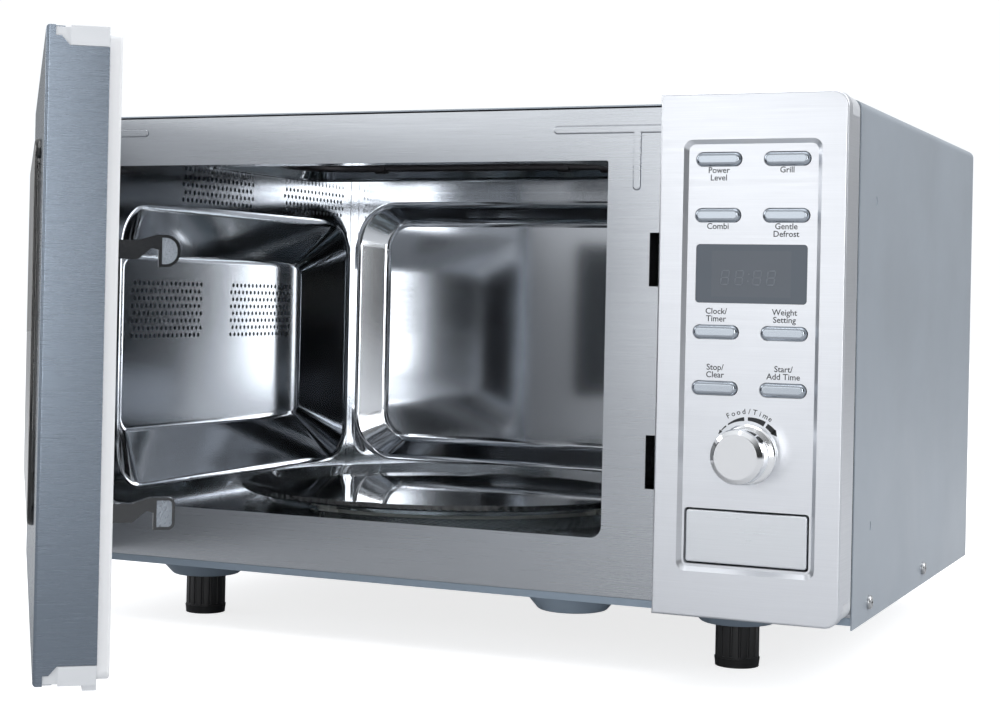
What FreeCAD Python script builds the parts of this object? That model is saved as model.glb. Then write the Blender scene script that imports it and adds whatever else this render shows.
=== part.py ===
import FreeCAD, Part
import math
import os
from FreeCAD import Vector

# Microwave oven with a left-hinged door, drawn with the door standing open.
# Millimetres. +X is to the right, +Y to the back, +Z up; the front faces -Y.
# The origin is on the floor, midway between the four feet.

# cabinet
cabinet_width = 513.0
cabinet_depth = 344.0
cabinet_height = 283.0
foot_length = 25.0
boss_depth = 11.5
base_lift = 2.5
sheet = 0.8
fit_gap = 0.2
plate_top_gap = 1.0

# control housing and door, which share one height
panel_width = 102.5
panel_height = 280.0
panel_depth = 30.0
panel_rise = 5.0
door_thickness = 32.0
door_plate_gap = 1.2
door_side_gap = 0.8
door_rest_angle = 51.5
hinge_from_side = 6.5
hinge_from_plate = 16.0

# cavity
cavity_width = 342.0
cavity_depth = 323.0
cavity_height = 216.0
cavity_from_side = 32.0
cavity_from_base = 38.0
opening_lip = 4.5
opening_sill = 1.0
opening_head = 2.0
opening_radius = 7.0
opening_top_radius = 1.5
side_dish_depth = 24.0
rear_dish_depth = 12.0
heater_trough_depth = 18.0

# turntable
table_radius = 144.0
table_thickness = 4.0
table_rim_height = 8.5
floor_dish_radius = 129.0
floor_dish_depth = 12.0
roller_radius = 6.2
roller_width = 6.0
roller_track_radius = 101.0
roller_gap = 0.3
shaft_radius = 3.0
running_gap = 0.05

# controls
button_length = 25.0
button_height = 7.2
button_spread = 37.4
button_rows = (244.7, 214.8, 152.5, 122.6)
button_proud = 2.2
button_travel = 0.8
button_gap = 0.35
button_round = 2.0
display_width = 61.0
display_height = 31.4
display_rise = 183.7
knob_rise = 88.0
knob_radius = 14.6
knob_base_radius = 16.0
knob_length = 21.5
release_width = 66.4
release_height = 28.0
release_rise = 43.3
release_gap = 1.0
fascia_sheet = 0.7
frame_wall = 2.4
field_width = 75.6
field_height = 230.8
field_rise = 24.4
field_depth = 2.0
field_slope = 2.4
field_radius = 5.0

# latch
hook_from_edge = 8.2
hook_thickness = 5.0
hook_reach = 26.5
hook_rises = (185.5, 72.0)
hook_head = 14.0
head_length = 9.2
head_corners = (6.4, 3.0)
arm_height = 8.2
slot_rises = (191.4, 78.5)
slot_height = 30.0
slot_width = 13.0
latch_lift = 3.0

# feet
foot_radius = 12.5
foot_collar_radius = 13.0
foot_spread = 358.0
foot_pitch = 244.0
boss_top_radius = 32.0
boss_bottom_radius = 21.0

half_width = cabinet_width / 2
face_y = -cabinet_depth / 2
rear_y = cabinet_depth / 2
floor_z = foot_length + boss_depth
base_z = floor_z - base_lift
top_z = base_z + cabinet_height
panel_left = half_width - panel_width
panel_mid = half_width - panel_width / 2
panel_front = face_y - panel_depth
panel_low = base_z + panel_rise
panel_high = panel_low + panel_height
door_left = -half_width
door_right = panel_left - door_side_gap
door_inner = face_y - door_plate_gap
door_outer = door_inner - door_thickness
hinge_x = -half_width + hinge_from_side
hinge_y = face_y - hinge_from_plate
cavity_left = -half_width + cavity_from_side
cavity_right = cavity_left + cavity_width
cavity_front = face_y + sheet
cavity_rear = cavity_front + cavity_depth
cavity_low = base_z + cavity_from_base
cavity_high = cavity_low + cavity_height
table_x = (cavity_left + cavity_right) / 2
table_y = (cavity_front + cavity_rear) / 2
track_z = cavity_low - floor_dish_depth
roller_z = track_z + roller_gap + roller_radius
glass_z = roller_z + roller_radius + roller_gap
hook_x = door_right - hook_from_edge
plate_low = base_z + 6.8
plate_high = top_z - sheet - plate_top_gap


def block(x0, x1, y0, y1, z0, z1):
    return Part.makeBox(x1 - x0, y1 - y0, z1 - z0, Vector(x0, y0, z0))


def rod(radius, start, direction, length):
    return Part.makeCylinder(radius, length, Vector(*start), Vector(*direction))


def join(first, *others):
    return first.multiFuse(list(others)).removeSplitter()


def outline(a0, a1, b0, b1, radius, place):
    """Closed rounded rectangle; place turns its two coordinates into a point."""
    corners = ((a1, b1, 0), (a0, b1, 1), (a0, b0, 2), (a1, b0, 3))
    points = []
    for a, b, quarter in corners:
        centre_a = a - radius if a == a1 else a + radius
        centre_b = b - radius if b == b1 else b + radius
        for step in range(3):
            angle = math.pi / 2 * quarter + math.pi / 4 * step
            points.append(place(centre_a + radius * math.cos(angle), centre_b + radius * math.sin(angle)))
    edges = []
    for corner in range(4):
        start, middle, end = points[3 * corner:3 * corner + 3]
        following = points[(3 * corner + 3) % len(points)]
        edges.append(Part.Arc(start, middle, end).toShape())
        edges.append(Part.LineSegment(end, following).toShape())
    return Part.Wire(edges)


def rounded_slab(x0, x1, z0, z1, radius, y0, y1):
    """Rounded rectangle seen from the front, from y0 back to y1."""
    face = Part.Face(outline(x0, x1, z0, z1, radius, lambda a, b: Vector(a, y0, b)))
    return face.extrude(Vector(0, y1 - y0, 0))


def fillet_where(shape, radius, test):
    edges = [edge for edge in shape.Edges if test(edge)]
    return shape.makeFillet(radius, edges)


def along(edge, axis):
    """True for a straight edge that runs along one axis (0, 1 or 2)."""
    if not isinstance(edge.Curve, Part.Line):
        return False
    return abs(edge.Curve.Direction[axis]) > 0.999


def level(edge, axis, value):
    """True for an edge that lies at one height on one axis."""
    box = edge.BoundBox
    low = (box.XMin, box.YMin, box.ZMin)[axis]
    high = (box.XMax, box.YMax, box.ZMax)[axis]
    return abs(low - value) < 1e-3 and abs(high - value) < 1e-3


def place_axes(shape, origin, a_axis, b_axis, out_axis):
    """Move a shape drawn in (a, b, out) into the cabinet."""
    a, b, out, origin = Vector(*a_axis), Vector(*b_axis), Vector(*out_axis), Vector(*origin)
    matrix = FreeCAD.Matrix(a.x, b.x, out.x, origin.x, a.y, b.y, out.y, origin.y,
                            a.z, b.z, out.z, origin.z, 0, 0, 0, 1)
    placed = shape.copy()
    placed.transformShape(matrix)
    return placed


def dish_former(a0, a1, b0, b1, rim, bottom, slopes, depth, rounds, grow, size):
    """Solid whose skin is one side of a pressed panel: a slab with a rounded dish on it."""
    slab = Part.makeBox(size[1] - size[0], size[3] - size[2], 10.0 + grow, Vector(size[0], size[2], -10.0))
    low_a, high_a, low_b, high_b = slopes
    mouth = outline(a0 - grow, a1 + grow, b0 - grow, b1 + grow, rim + grow, lambda a, b: Vector(a, b, grow))
    floor = outline(a0 + low_a - grow, a1 - high_a + grow, b0 + low_b - grow, b1 - high_b + grow,
                    bottom + grow, lambda a, b: Vector(a, b, depth + grow))
    dish = Part.makeLoft([mouth, floor], True, True)
    dish = fillet_where(dish, rounds[0] + grow, lambda edge: level(edge, 2, depth + grow))
    body = slab.fuse(dish).removeSplitter()

    def at_mouth(edge):
        box = edge.BoundBox
        inside = box.XMin > size[0] + 1 and box.XMax < size[1] - 1 and box.YMin > size[2] + 1
        return inside and box.YMax < size[3] - 1 and level(edge, 2, grow)

    return fillet_where(body, rounds[1] - grow, at_mouth)


def pressed_panel(a0, a1, b0, b1, dish, rim, bottom, slopes, depth, rounds):
    """Sheet panel with a drawn dish, in (a, b, out) with its inner face at out = 0.

    rounds holds the bend radii at the floor and at the mouth of the dish.
    """
    wide = (a0 - 20, a1 + 20, b0 - 20, b1 + 20)
    inner = dish_former(*dish, rim, bottom, slopes, depth, rounds, 0.0, wide)
    outer = dish_former(*dish, rim, bottom, slopes, depth, rounds, sheet, wide)
    trim = Part.makeBox(a1 - a0, b1 - b0, depth + 2 * sheet, Vector(a0, b0, 0))
    return outer.cut(inner).common(trim)


def hole_field(a0, b0, columns, rows, pitch, radius, out0, out1):
    """Staggered field of round punches in (a, b, out)."""
    punches = []
    for row in range(rows):
        shift = pitch / 2 if row % 2 else 0.0
        for column in range(columns):
            centre = Vector(a0 + row * pitch * 0.95, b0 + shift + column * pitch, out0)
            punches.append(Part.makeCylinder(radius, out1 - out0, centre))
    return Part.makeCompound(punches)


def open_door(shape):
    """Swing a door piece from closed to the angle at which the door stands."""
    swung = shape.copy()
    swung.rotate(Vector(hinge_x, hinge_y, 0), Vector(0, 0, 1), -door_rest_angle)
    return swung


# cabinet

screw_rows = (face_y + 38.5, face_y + 189.0)
screw_z = base_z + 10.0
screw_hole_radius = 2.1
screw_shank_radius = 2.0
screw_head_radius = 3.9
screw_head_height = 2.2
rear_flange = 12.0
wrapper_radius = 5.0
rear_screw_x = half_width - 90.0


def outer_wrapper():
    shell = block(-half_width, half_width, face_y, rear_y, base_z, top_z)
    shell = fillet_where(shell, wrapper_radius, lambda e: along(e, 1) and level(e, 2, top_z))
    room = block(-half_width + sheet, half_width - sheet, face_y - 1, rear_y - sheet, base_z - 1, top_z - sheet)
    room = fillet_where(room, wrapper_radius - sheet, lambda e: along(e, 1) and level(e, 2, top_z - sheet))
    window = block(-half_width + rear_flange, half_width - rear_flange, rear_y - 2, rear_y + 1,
                   base_z - 1, top_z - rear_flange)
    shell = shell.cut(room).cut(window)
    punches = []
    for side in (-1, 1):
        for y in screw_rows:
            punches.append(rod(screw_hole_radius, (side * half_width - 2, y, screw_z), (1, 0, 0), 4))
        for z in (base_z + 52.0, base_z + 231.0):
            start = side * (half_width - 0.3)
            punches.append(rod(2.5, (start, face_y + 39.0, z), (side, 0, 0), 2))
    for x in (-rear_screw_x, rear_screw_x):
        punches.append(rod(screw_hole_radius, (x, rear_y - 2, top_z - rear_flange / 2), (0, 1, 0), 4))
    for column in range(12):
        y = rear_y - 150.0 + column * 9.0
        punches.append(block(-half_width - 1, -half_width + 1, y, y + 3.5, base_z + 200.0, base_z + 232.0))
    return shell.cut(Part.makeCompound(punches))


def foot_places():
    return [(sx * foot_spread / 2, sy * foot_pitch / 2) for sx in (-1, 1) for sy in (-1, 1)]


def pressed_boss(x, y, top_radius, bottom_radius, depth):
    """Downward pressed boss: the outer cone and the hollow to cut from it."""
    outer = Part.makeCone(bottom_radius, top_radius, depth, Vector(x, y, floor_z - depth))
    outer = fillet_where(outer, 3.0, lambda e: level(e, 2, floor_z - depth))
    hollow = Part.makeCone(bottom_radius - sheet, top_radius - sheet, depth,
                           Vector(x, y, floor_z - depth + sheet))
    return outer, hollow


def base_plate():
    left = -half_width + sheet + fit_gap
    right = half_width - sheet - fit_gap
    front = face_y
    back = rear_y - 2 * sheet - fit_gap
    plate = block(left, right, front, back, floor_z, floor_z + sheet)
    flange_high = floor_z + 16.0
    flanges = [block(left, left + sheet, face_y + 6, back, floor_z, flange_high),
               block(right - sheet, right, face_y + 6, back, floor_z, flange_high),
               block(left, right, front, front + sheet, floor_z, plate_low - fit_gap)]
    hollows = []
    for x, y in foot_places():
        outer, hollow = pressed_boss(x, y, boss_top_radius, boss_bottom_radius, boss_depth)
        flanges.append(outer)
        hollows.append(hollow)
        hollows.append(rod(4.2, (x, y, floor_z - boss_depth - 1), (0, 0, 1), 4))
    outer, hollow = pressed_boss(85.0, face_y + 30.0, 28.0, 20.0, boss_depth - 2)
    flanges.append(outer)
    hollows.append(hollow)
    body = plate.multiFuse(flanges)
    for y in screw_rows:
        for side in (left, right):
            hollows.append(rod(screw_hole_radius, (side - 2, y, screw_z), (1, 0, 0), 4))
    for row in range(5):
        for column in range(8):
            x = cavity_right + 30.0 + column * 11.0
            hollows.append(block(x, x + 3.5, row * 18.0 - 30.0, row * 18.0 - 18.0, floor_z - 1, floor_z + 2))
    keep = block(-half_width, half_width, face_y, rear_y, 0, top_z)
    return body.common(keep).cut(Part.makeCompound(hollows))


gland_x = half_width - 40.0
gland_z = base_z + 38.0
gland_radius = 9.0
fan_x = (cavity_right + half_width) / 2
fan_z = top_z - 75.0
fan_radius = 48.0


def rear_panel():
    left = -half_width + 2 * sheet + fit_gap
    right = half_width - 2 * sheet - fit_gap
    back = rear_y - sheet - 0.1
    high = top_z - 2 * sheet - fit_gap
    panel = block(left, right, back - sheet, back, floor_z + sheet + fit_gap, high)
    panel = fillet_where(panel, wrapper_radius, lambda e: along(e, 1) and level(e, 2, high))
    punches = [rod(gland_radius + 0.1, (gland_x, back - 3, gland_z), (0, 1, 0), 6)]
    for x in (-rear_screw_x, rear_screw_x):
        punches.append(rod(screw_hole_radius, (x, back - 3, top_z - rear_flange / 2), (0, 1, 0), 6))
    for ring in range(1, 5):
        count = 8 * ring
        for index in range(count):
            angle = 2 * math.pi * index / count
            x = fan_x + 10.0 * ring * math.cos(angle)
            z = fan_z + 10.0 * ring * math.sin(angle)
            punches.append(rod(2.6, (x, back - 3, z), (0, 1, 0), 6))
    for row in range(6):
        for column in range(3):
            x = cavity_left + 30.0 + column * 46.0
            z = base_z + 60.0 + row * 11.0
            punches.append(block(x, x + 36.0, back - 3, back + 3, z, z + 3.5))
    return panel.cut(Part.makeCompound(punches))


bead_width = 4.8
bead_height = door_plate_gap - fit_gap
bead_round = bead_height - 0.1
bead_z = top_z - 13.5
bead_stem_x = cavity_right + 10.3
bead_stem_length = 34.5
leaf_depth = 3.0
tongue_half = 5.6
tongue_thickness = 3.0
bracket_from_end = 7.0
upper_tongue_z = panel_high - bracket_from_end - tongue_thickness
lower_tongue_z = panel_low + bracket_from_end
bracket_length = 46.0
bracket_width = 24.0


def bead(x0, x1, z0, z1):
    ridge = rounded_slab(x0, x1, z0, z1, bead_width / 2 - 0.01, face_y - bead_height, face_y + 0.1)
    return fillet_where(ridge, bead_round, lambda e: level(e, 1, face_y - bead_height))


def front_plate():
    left = -half_width + sheet + fit_gap
    right = half_width - sheet - fit_gap
    plate = block(left, right, face_y, face_y + sheet, plate_low, plate_high)
    plate = fillet_where(plate, wrapper_radius, lambda e: along(e, 1) and level(e, 2, plate_high))
    opening = block(cavity_left + opening_lip, cavity_right - opening_lip, face_y - 1, face_y + 3,
                    cavity_low + opening_sill, cavity_high - opening_head)
    for radius, height in ((opening_radius, cavity_low + opening_sill),
                           (opening_top_radius, cavity_high - opening_head)):
        opening = fillet_where(opening, radius, lambda e: along(e, 1) and level(e, 2, height))
    stem_z = lever_pivot_z - lever_arm
    cuts = [opening, block(panel_mid - 22, panel_mid - 10, face_y - 1, face_y + 3, stem_z - 5, stem_z + 5)]
    for rise in slot_rises:
        middle = panel_low + rise
        cuts.append(block(hook_x - slot_width / 2, hook_x + slot_width / 2, face_y - 1, face_y + 3,
                          middle - slot_height / 2, middle + slot_height / 2))
    for z in (upper_tongue_z, lower_tongue_z):
        cuts.append(block(left - 1, hinge_x + tongue_half + 0.5, face_y - 1, face_y + 3,
                          z - 0.5, z + tongue_thickness + 0.5))
    ridge_end = cavity_right - 38.0
    ridges = [bead(ridge_end, panel_left + 20.0, bead_z - bead_width / 2, bead_z + bead_width / 2),
              bead(bead_stem_x, bead_stem_x + bead_width, bead_z - bead_stem_length, bead_z + bead_width / 2),
              bead(left + 14.0, cavity_left + 28.0, bead_z + 0.5, bead_z + 0.5 + bead_width)]
    return plate.multiFuse(ridges).cut(Part.makeCompound(cuts))


def hinge_bracket(tongue_z, pin_z0, pin_z1, leaf_z0):
    """Leaf behind the front plate, tongue through it, and the pin the door turns on."""
    leaf_left = -half_width + sheet + 2 * fit_gap
    leaf = block(leaf_left, leaf_left + bracket_width, face_y + sheet, face_y + sheet + leaf_depth,
                 leaf_z0, leaf_z0 + bracket_length)
    tongue = block(leaf_left, hinge_x + tongue_half, hinge_y, face_y + sheet + leaf_depth,
                   tongue_z, tongue_z + tongue_thickness)
    nose = rod(tongue_half, (hinge_x, hinge_y, tongue_z), (0, 0, 1), tongue_thickness)
    pin = rod(shaft_radius, (hinge_x, hinge_y, pin_z0), (0, 0, 1), pin_z1 - pin_z0)
    return join(leaf, tongue, nose, pin)


hinge_pin_length = 16.0


def hinge_brackets():
    upper = hinge_bracket(upper_tongue_z, upper_tongue_z - hinge_pin_length, upper_tongue_z,
                          plate_high - bracket_length - wrapper_radius + 1)
    start = lower_tongue_z + tongue_thickness
    lower = hinge_bracket(lower_tongue_z, start, start + hinge_pin_length, plate_low + 1.0)
    return Part.makeCompound([upper, lower])


def feet():
    pieces = []
    for x, y in foot_places():
        barrel = rod(foot_radius, (x, y, 0), (0, 0, 1), foot_length)
        collar = Part.makeCone(foot_collar_radius - 0.6, foot_collar_radius, 5.0, Vector(x, y, 0))
        stud = rod(4.0, (x, y, foot_length - 1), (0, 0, 1), 6.0)
        cuts = []
        for index in range(16):
            angle = 2 * math.pi * index / 16
            cuts.append(rod(0.9, (x + foot_radius * math.cos(angle), y + foot_radius * math.sin(angle), 6.0),
                            (0, 0, 1), foot_length))
        cuts.append(rod(foot_radius - 4.0, (x, y, -1), (0, 0, 1), 3.0))
        ribbed = barrel.cut(Part.makeCompound(cuts))
        pieces.append(join(ribbed, collar.cut(rod(foot_radius - 4.0, (x, y, -1), (0, 0, 1), 3.0)), stud))
    return Part.makeCompound(pieces)


def cover_screws():
    pieces = []
    for side in (-1, 1):
        for y in screw_rows:
            head = rod(screw_head_radius, (side * half_width, y, screw_z), (side, 0, 0), screw_head_height)
            head = fillet_where(head, 1.4, lambda e: level(e, 0, side * (half_width + screw_head_height)))
            shank = rod(screw_shank_radius, (side * (half_width + 0.1), y, screw_z), (-side, 0, 0), 8.0)
            cross = block(side * half_width + side * 1.6 - 0.8, side * half_width + side * 1.6 + 0.8,
                          y - 2.0, y + 2.0, screw_z - 0.4, screw_z + 0.4)
            slot = block(side * half_width + side * 1.6 - 0.8, side * half_width + side * 1.6 + 0.8,
                         y - 0.4, y + 0.4, screw_z - 2.0, screw_z + 2.0)
            pieces.append(join(head, shank).cut(cross).cut(slot))
    for x in (-rear_screw_x, rear_screw_x):
        z = top_z - rear_flange / 2
        head = rod(screw_head_radius, (x, rear_y, z), (0, 1, 0), screw_head_height)
        head = fillet_where(head, 1.4, lambda e: level(e, 1, rear_y + screw_head_height))
        shank = rod(screw_shank_radius, (x, rear_y + 0.1, z), (0, -1, 0), 8.0)
        pieces.append(join(head, shank))
    return Part.makeCompound(pieces)


def cord_gland():
    """Empty bush for the mains lead."""
    back = rear_y - sheet - 0.1
    neck = rod(gland_radius, (gland_x, back - sheet - 4, gland_z), (0, 1, 0), sheet + 8)
    flange = rod(gland_radius + 2.5, (gland_x, back, gland_z), (0, 1, 0), 2.5)
    inner = rod(gland_radius + 2.0, (gland_x, back - sheet - 3, gland_z), (0, 1, 0), 3)
    return join(neck, flange, inner).cut(rod(4.2, (gland_x, back - 20, gland_z), (0, 1, 0), 40))


# cavity

hole_radius = 1.5
hole_pitch = 5.4


def cavity_left_wall():
    low, high = cavity_low, cavity_high
    dish = (low + 8.0, high - 26.0, cavity_front + 14.5, cavity_rear - 6.0)
    panel = pressed_panel(low, high, cavity_front, cavity_rear, dish, 26.0, 9.0,
                          (34.0, 32.0, 33.0, 36.0), side_dish_depth, (7.0, 9.0))
    out0, out1 = side_dish_depth - 2, side_dish_depth + 3
    group_z = low + 104.5
    punches = [hole_field(group_z, cavity_front + 59.5, 16, 8, hole_pitch, hole_radius, out0, out1),
               hole_field(group_z, cavity_rear - 140.0, 16, 8, hole_pitch, hole_radius, out0, out1)]
    for start in (cavity_front + 82.0, cavity_rear - 107.0):
        punches.append(hole_field(high - 18.5, start, 17, 4, hole_pitch, hole_radius, -2, 3))
    panel = panel.cut(Part.makeCompound(punches))
    return place_axes(panel, (cavity_left, 0, 0), (0, 0, 1), (0, 1, 0), (-1, 0, 0))


def cavity_rear_wall():
    left, right = cavity_left - sheet, cavity_right + sheet
    dish = (cavity_low + 9.0, cavity_high - 10.0, cavity_left + 6.0, cavity_right - 6.0)
    panel = pressed_panel(cavity_low - sheet, cavity_high + sheet, left, right, dish, 31.0, 22.0,
                          (14.0, 12.0, 20.0, 20.0), rear_dish_depth, (10.0, 8.0))
    return place_axes(panel, (0, cavity_rear, 0), (0, 0, 1), (1, 0, 0), (0, 1, 0))


port_y = cavity_front + 128.0
port_z = cavity_low + 112.0
port_length = 76.0
port_height = 60.0
lamp_y = cavity_front + 60.0
lamp_z = cavity_high - 28.0


def cavity_right_wall():
    wall = block(cavity_right, cavity_right + sheet, cavity_front, cavity_rear, cavity_low, cavity_high)
    cuts = [block(cavity_right - 1, cavity_right + 2, port_y + 8, port_y + port_length - 8,
                  port_z + 8, port_z + port_height - 8)]
    lamp_holes = hole_field(lamp_z - 10.0, lamp_y - 11.0, 5, 5, 5.0, 1.4, -2, 3)
    cuts.append(place_axes(lamp_holes, (cavity_right, 0, 0), (0, 0, -1), (0, 1, 0), (1, 0, 0))
                .translate(Vector(0, 0, 2 * lamp_z)))
    return wall.cut(Part.makeCompound(cuts))


trough_x0 = cavity_left + 36.0
trough_x1 = cavity_right - 36.0
trough_y0 = cavity_front + 44.0
trough_y1 = cavity_front + 190.0
heater_radius = 3.3
heater_z = cavity_high + 7.0


def cavity_ceiling():
    dish = (trough_x0, trough_x1, trough_y0, trough_y1)
    left, right = cavity_left - sheet, cavity_right + sheet
    panel = pressed_panel(left, right, cavity_front, cavity_rear, dish, 22.0, 14.0,
                          (14.0, 14.0, 14.0, 14.0), heater_trough_depth, (9.0, 6.0))
    return place_axes(panel, (0, 0, cavity_high), (1, 0, 0), (0, 1, 0), (0, 0, 1))


def cavity_floor():
    floor = block(cavity_left, cavity_right, cavity_front, cavity_rear, cavity_low - sheet, cavity_low)
    wide, narrow = floor_dish_radius, floor_dish_radius - 9.0
    bottom = track_z - sheet
    outer = Part.makeCone(narrow + sheet, wide + sheet, cavity_low - bottom, Vector(table_x, table_y, bottom))
    outer = fillet_where(outer, 4.0, lambda e: level(e, 2, bottom))
    hollow = Part.makeCone(narrow, wide, cavity_low - track_z, Vector(table_x, table_y, track_z))
    shaft_hole = rod(shaft_radius + 1.5, (table_x, table_y, bottom - 1), (0, 0, 1), 4)
    return floor.fuse(outer).cut(hollow).cut(shaft_hole)


mica_thickness = 0.8


def waveguide_cover():
    cover = block(cavity_right - mica_thickness, cavity_right, port_y, port_y + port_length,
                  port_z, port_z + port_height)
    return fillet_where(cover, 4.0, lambda e: along(e, 0))


def waveguide():
    length, width, height = port_length + 14.0, 36.0, port_height + 4.0
    x0 = cavity_right + sheet
    outer = block(x0, x0 + width, port_y - 2, port_y - 2 + length, port_z - 2, port_z - 2 + height)
    room = block(x0 - 1, x0 + width - 1.2, port_y, port_y + length - 4, port_z, port_z - 4 + height)
    mouth = rod(12.5, (x0 + width - 3, port_y + 56.0, port_z + height / 2 - 2), (1, 0, 0), 6)
    return outer.cut(room).cut(mouth)


def heating_tube():
    """U-shaped tube with its two terminals."""
    x0, x1 = trough_x0 + 26.0, trough_x1 - 26.0
    y0, y1 = trough_y0 + 40.0, trough_y1 - 40.0
    bend = (y1 - y0) / 2
    middle_y = (y0 + y1) / 2
    start = Vector(x1, y0, heater_z)
    turn = Vector(x0 + bend, y0, heater_z)
    across = Vector(x0, middle_y, heater_z)
    back = Vector(x0 + bend, y1, heater_z)
    end = Vector(x1, y1, heater_z)
    path = Part.Wire([Part.LineSegment(start, turn).toShape(), Part.Arc(turn, across, back).toShape(),
                      Part.LineSegment(back, end).toShape()])
    ring = Part.Wire([Part.Circle(start, Vector(1, 0, 0), heater_radius).toShape()])
    tube = path.makePipeShell([ring], True, True)
    caps = []
    for y in (y0, y1):
        caps.append(rod(heater_radius + 1.6, (x1 - 4, y, heater_z), (1, 0, 0), 16))
        caps.append(rod(1.6, (x1 + 10, y, heater_z), (1, 0, 0), 8))
    return join(tube, *caps)


def grill_heater():
    """Heating tube and the four folded straps that hold it under the trough."""
    pieces = [heating_tube()]
    strap = 8.0
    ceiling = cavity_high + heater_trough_depth
    for x in (trough_x0 + 75.0, trough_x1 - 60.0):
        for y in (trough_y0 + 40.0, trough_y1 - 40.0):
            ring = rod(heater_radius + 1.2, (x, y, heater_z), (1, 0, 0), strap)
            hole = rod(heater_radius, (x - 1, y, heater_z), (1, 0, 0), strap + 2)
            stem = block(x, x + strap, y - 0.6, y + 0.6, heater_z + heater_radius + 0.5, ceiling)
            pieces.append(ring.fuse(stem).cut(hole))
    return Part.makeCompound(pieces)


# turntable

coupler_radius = 20.0


def glass_turntable():
    r = table_radius
    foot_r = floor_dish_radius - 8.0
    low, top = glass_z, glass_z + table_thickness
    high = glass_z + table_rim_height
    points = [(0, low), (foot_r, low), (r - 3.0, high - table_thickness), (r, high - 2.5), (r, high),
              (r - 3.5, high), (foot_r - 2.0, top), (0, top)]
    corners = [Vector(table_x + a, table_y, b) for a, b in points]
    wire = Part.makePolygon(corners + corners[:1])
    plate = Part.Face(wire).revolve(Vector(table_x, table_y, 0), Vector(0, 0, 1), 360)
    lugs = []
    for index in range(3):
        angle = 2 * math.pi * index / 3 + math.pi / 3
        x = table_x + 15.0 * math.cos(angle)
        y = table_y + 15.0 * math.sin(angle)
        lugs.append(rod(2.6, (x, y, low - 3.4), (0, 0, 1), 4.4))
    return join(plate, *lugs)


def turntable_coupler():
    low, high = track_z + 3.0, glass_z - 0.1
    hub = rod(7.5, (table_x, table_y, low), (0, 0, 1), high - low)
    pieces = []
    for index in range(3):
        arm = block(table_x, table_x + coupler_radius, table_y - 4.0, table_y + 4.0, high - 4.5, high)
        arm.rotate(Vector(table_x, table_y, 0), Vector(0, 0, 1), 120 * index)
        pieces.append(arm)
    return join(hub, *pieces).cut(rod(shaft_radius, (table_x, table_y, low - 1), (0, 0, 1), 8.0))


motor_top = track_z - sheet - 0.5


def turntable_shaft():
    return rod(shaft_radius, (table_x, table_y, motor_top - 10.0), (0, 0, 1), track_z + 9.5 - motor_top + 10.0)


def turntable_motor():
    radius, height = 24.5, 15.5
    can = rod(radius, (table_x, table_y, motor_top - height), (0, 0, 1), height)
    can = fillet_where(can, 1.5, lambda e: level(e, 2, motor_top - height))
    ears = block(table_x - 35.0, table_x + 35.0, table_y - 6.0, table_y + 6.0, motor_top - 1.5, motor_top)
    terminal = block(table_x - 10.0, table_x + 10.0, table_y + 20.0, table_y + 34.0,
                     motor_top - 12.0, motor_top - 4.0)
    bore = rod(shaft_radius + running_gap, (table_x, table_y, motor_top - 11.0), (0, 0, 1), 14.0)
    holes = [rod(1.8, (table_x + side * 31.0, table_y, motor_top - 3), (0, 0, 1), 6) for side in (-1, 1)]
    return join(can, ears, terminal).cut(Part.makeCompound([bore] + holes))


axle_radius = 1.8


def roller_ring():
    inner, outer = roller_track_radius - 17.0, roller_track_radius - 7.0
    low = roller_z - 2.4
    ring = rod(outer, (table_x, table_y, low), (0, 0, 1), 4.8).cut(
        rod(inner, (table_x, table_y, low - 1), (0, 0, 1), 7))
    pieces = []
    for index in range(3):
        axle = rod(axle_radius, (table_x + inner + 3, table_y, roller_z), (1, 0, 0), 24.5)
        head = rod(axle_radius + 1.0, (table_x + inner + 3 + 24.5, table_y, roller_z), (1, 0, 0), 1.2)
        arm = block(table_x + coupler_radius + 6, table_x + inner + 2, table_y - 4, table_y + 4, low, low + 3.0)
        for piece in (axle, head, arm):
            piece.rotate(Vector(table_x, table_y, 0), Vector(0, 0, 1), 120 * index)
            pieces.append(piece)
    hub = rod(coupler_radius + 10.0, (table_x, table_y, low), (0, 0, 1), 3.0).cut(
        rod(coupler_radius + 3.0, (table_x, table_y, low - 1), (0, 0, 1), 5.0))
    return join(ring, hub, *pieces)


def roller(index):
    start = (table_x + roller_track_radius - roller_width / 2, table_y, roller_z)
    wheel = rod(roller_radius, start, (1, 0, 0), roller_width)
    wheel = fillet_where(wheel, 0.8, lambda e: e.BoundBox.YLength > 2 * roller_radius - 0.1)
    bore = rod(axle_radius + running_gap, (start[0] - 1, table_y, roller_z), (1, 0, 0), roller_width + 2)
    wheel = wheel.cut(bore)
    wheel.rotate(Vector(table_x, table_y, 0), Vector(0, 0, 1), 120 * index)
    return wheel


# electrical parts beside the cavity

bay_left = cavity_right + sheet


def magnetron():
    x0 = bay_left + 36.0
    y0 = port_y + 14.0
    z_mid = port_z - 2 + (port_height + 4.0) / 2
    width, length, height = 44.0, 84.0, 66.0
    yoke = block(x0, x0 + width, y0, y0 + length, z_mid - height / 2, z_mid + height / 2)
    low, high = z_mid - height / 2, z_mid + height / 2
    room = block(x0 + 2, x0 + width - 2, y0 - 1, y0 + length + 1, low + 2, high - 2)
    pieces = [yoke.cut(room)]
    antenna_y = port_y + 56.0
    pieces.append(rod(21.0, (x0 + 1, antenna_y, z_mid), (1, 0, 0), width - 2))
    pieces.append(rod(9.0, (x0 - 26.0, antenna_y, z_mid), (1, 0, 0), 28.0))
    for index in range(5):
        x = x0 + 8.0 + index * 6.5
        pieces.append(block(x, x + 0.8, y0 + 4, y0 + length - 4, low + 1, high - 1))
    pieces.append(block(x0 + width - 1, x0 + width + 20, antenna_y - 19, antenna_y + 19,
                        z_mid - 19, z_mid + 19))
    return join(*pieces)


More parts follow.
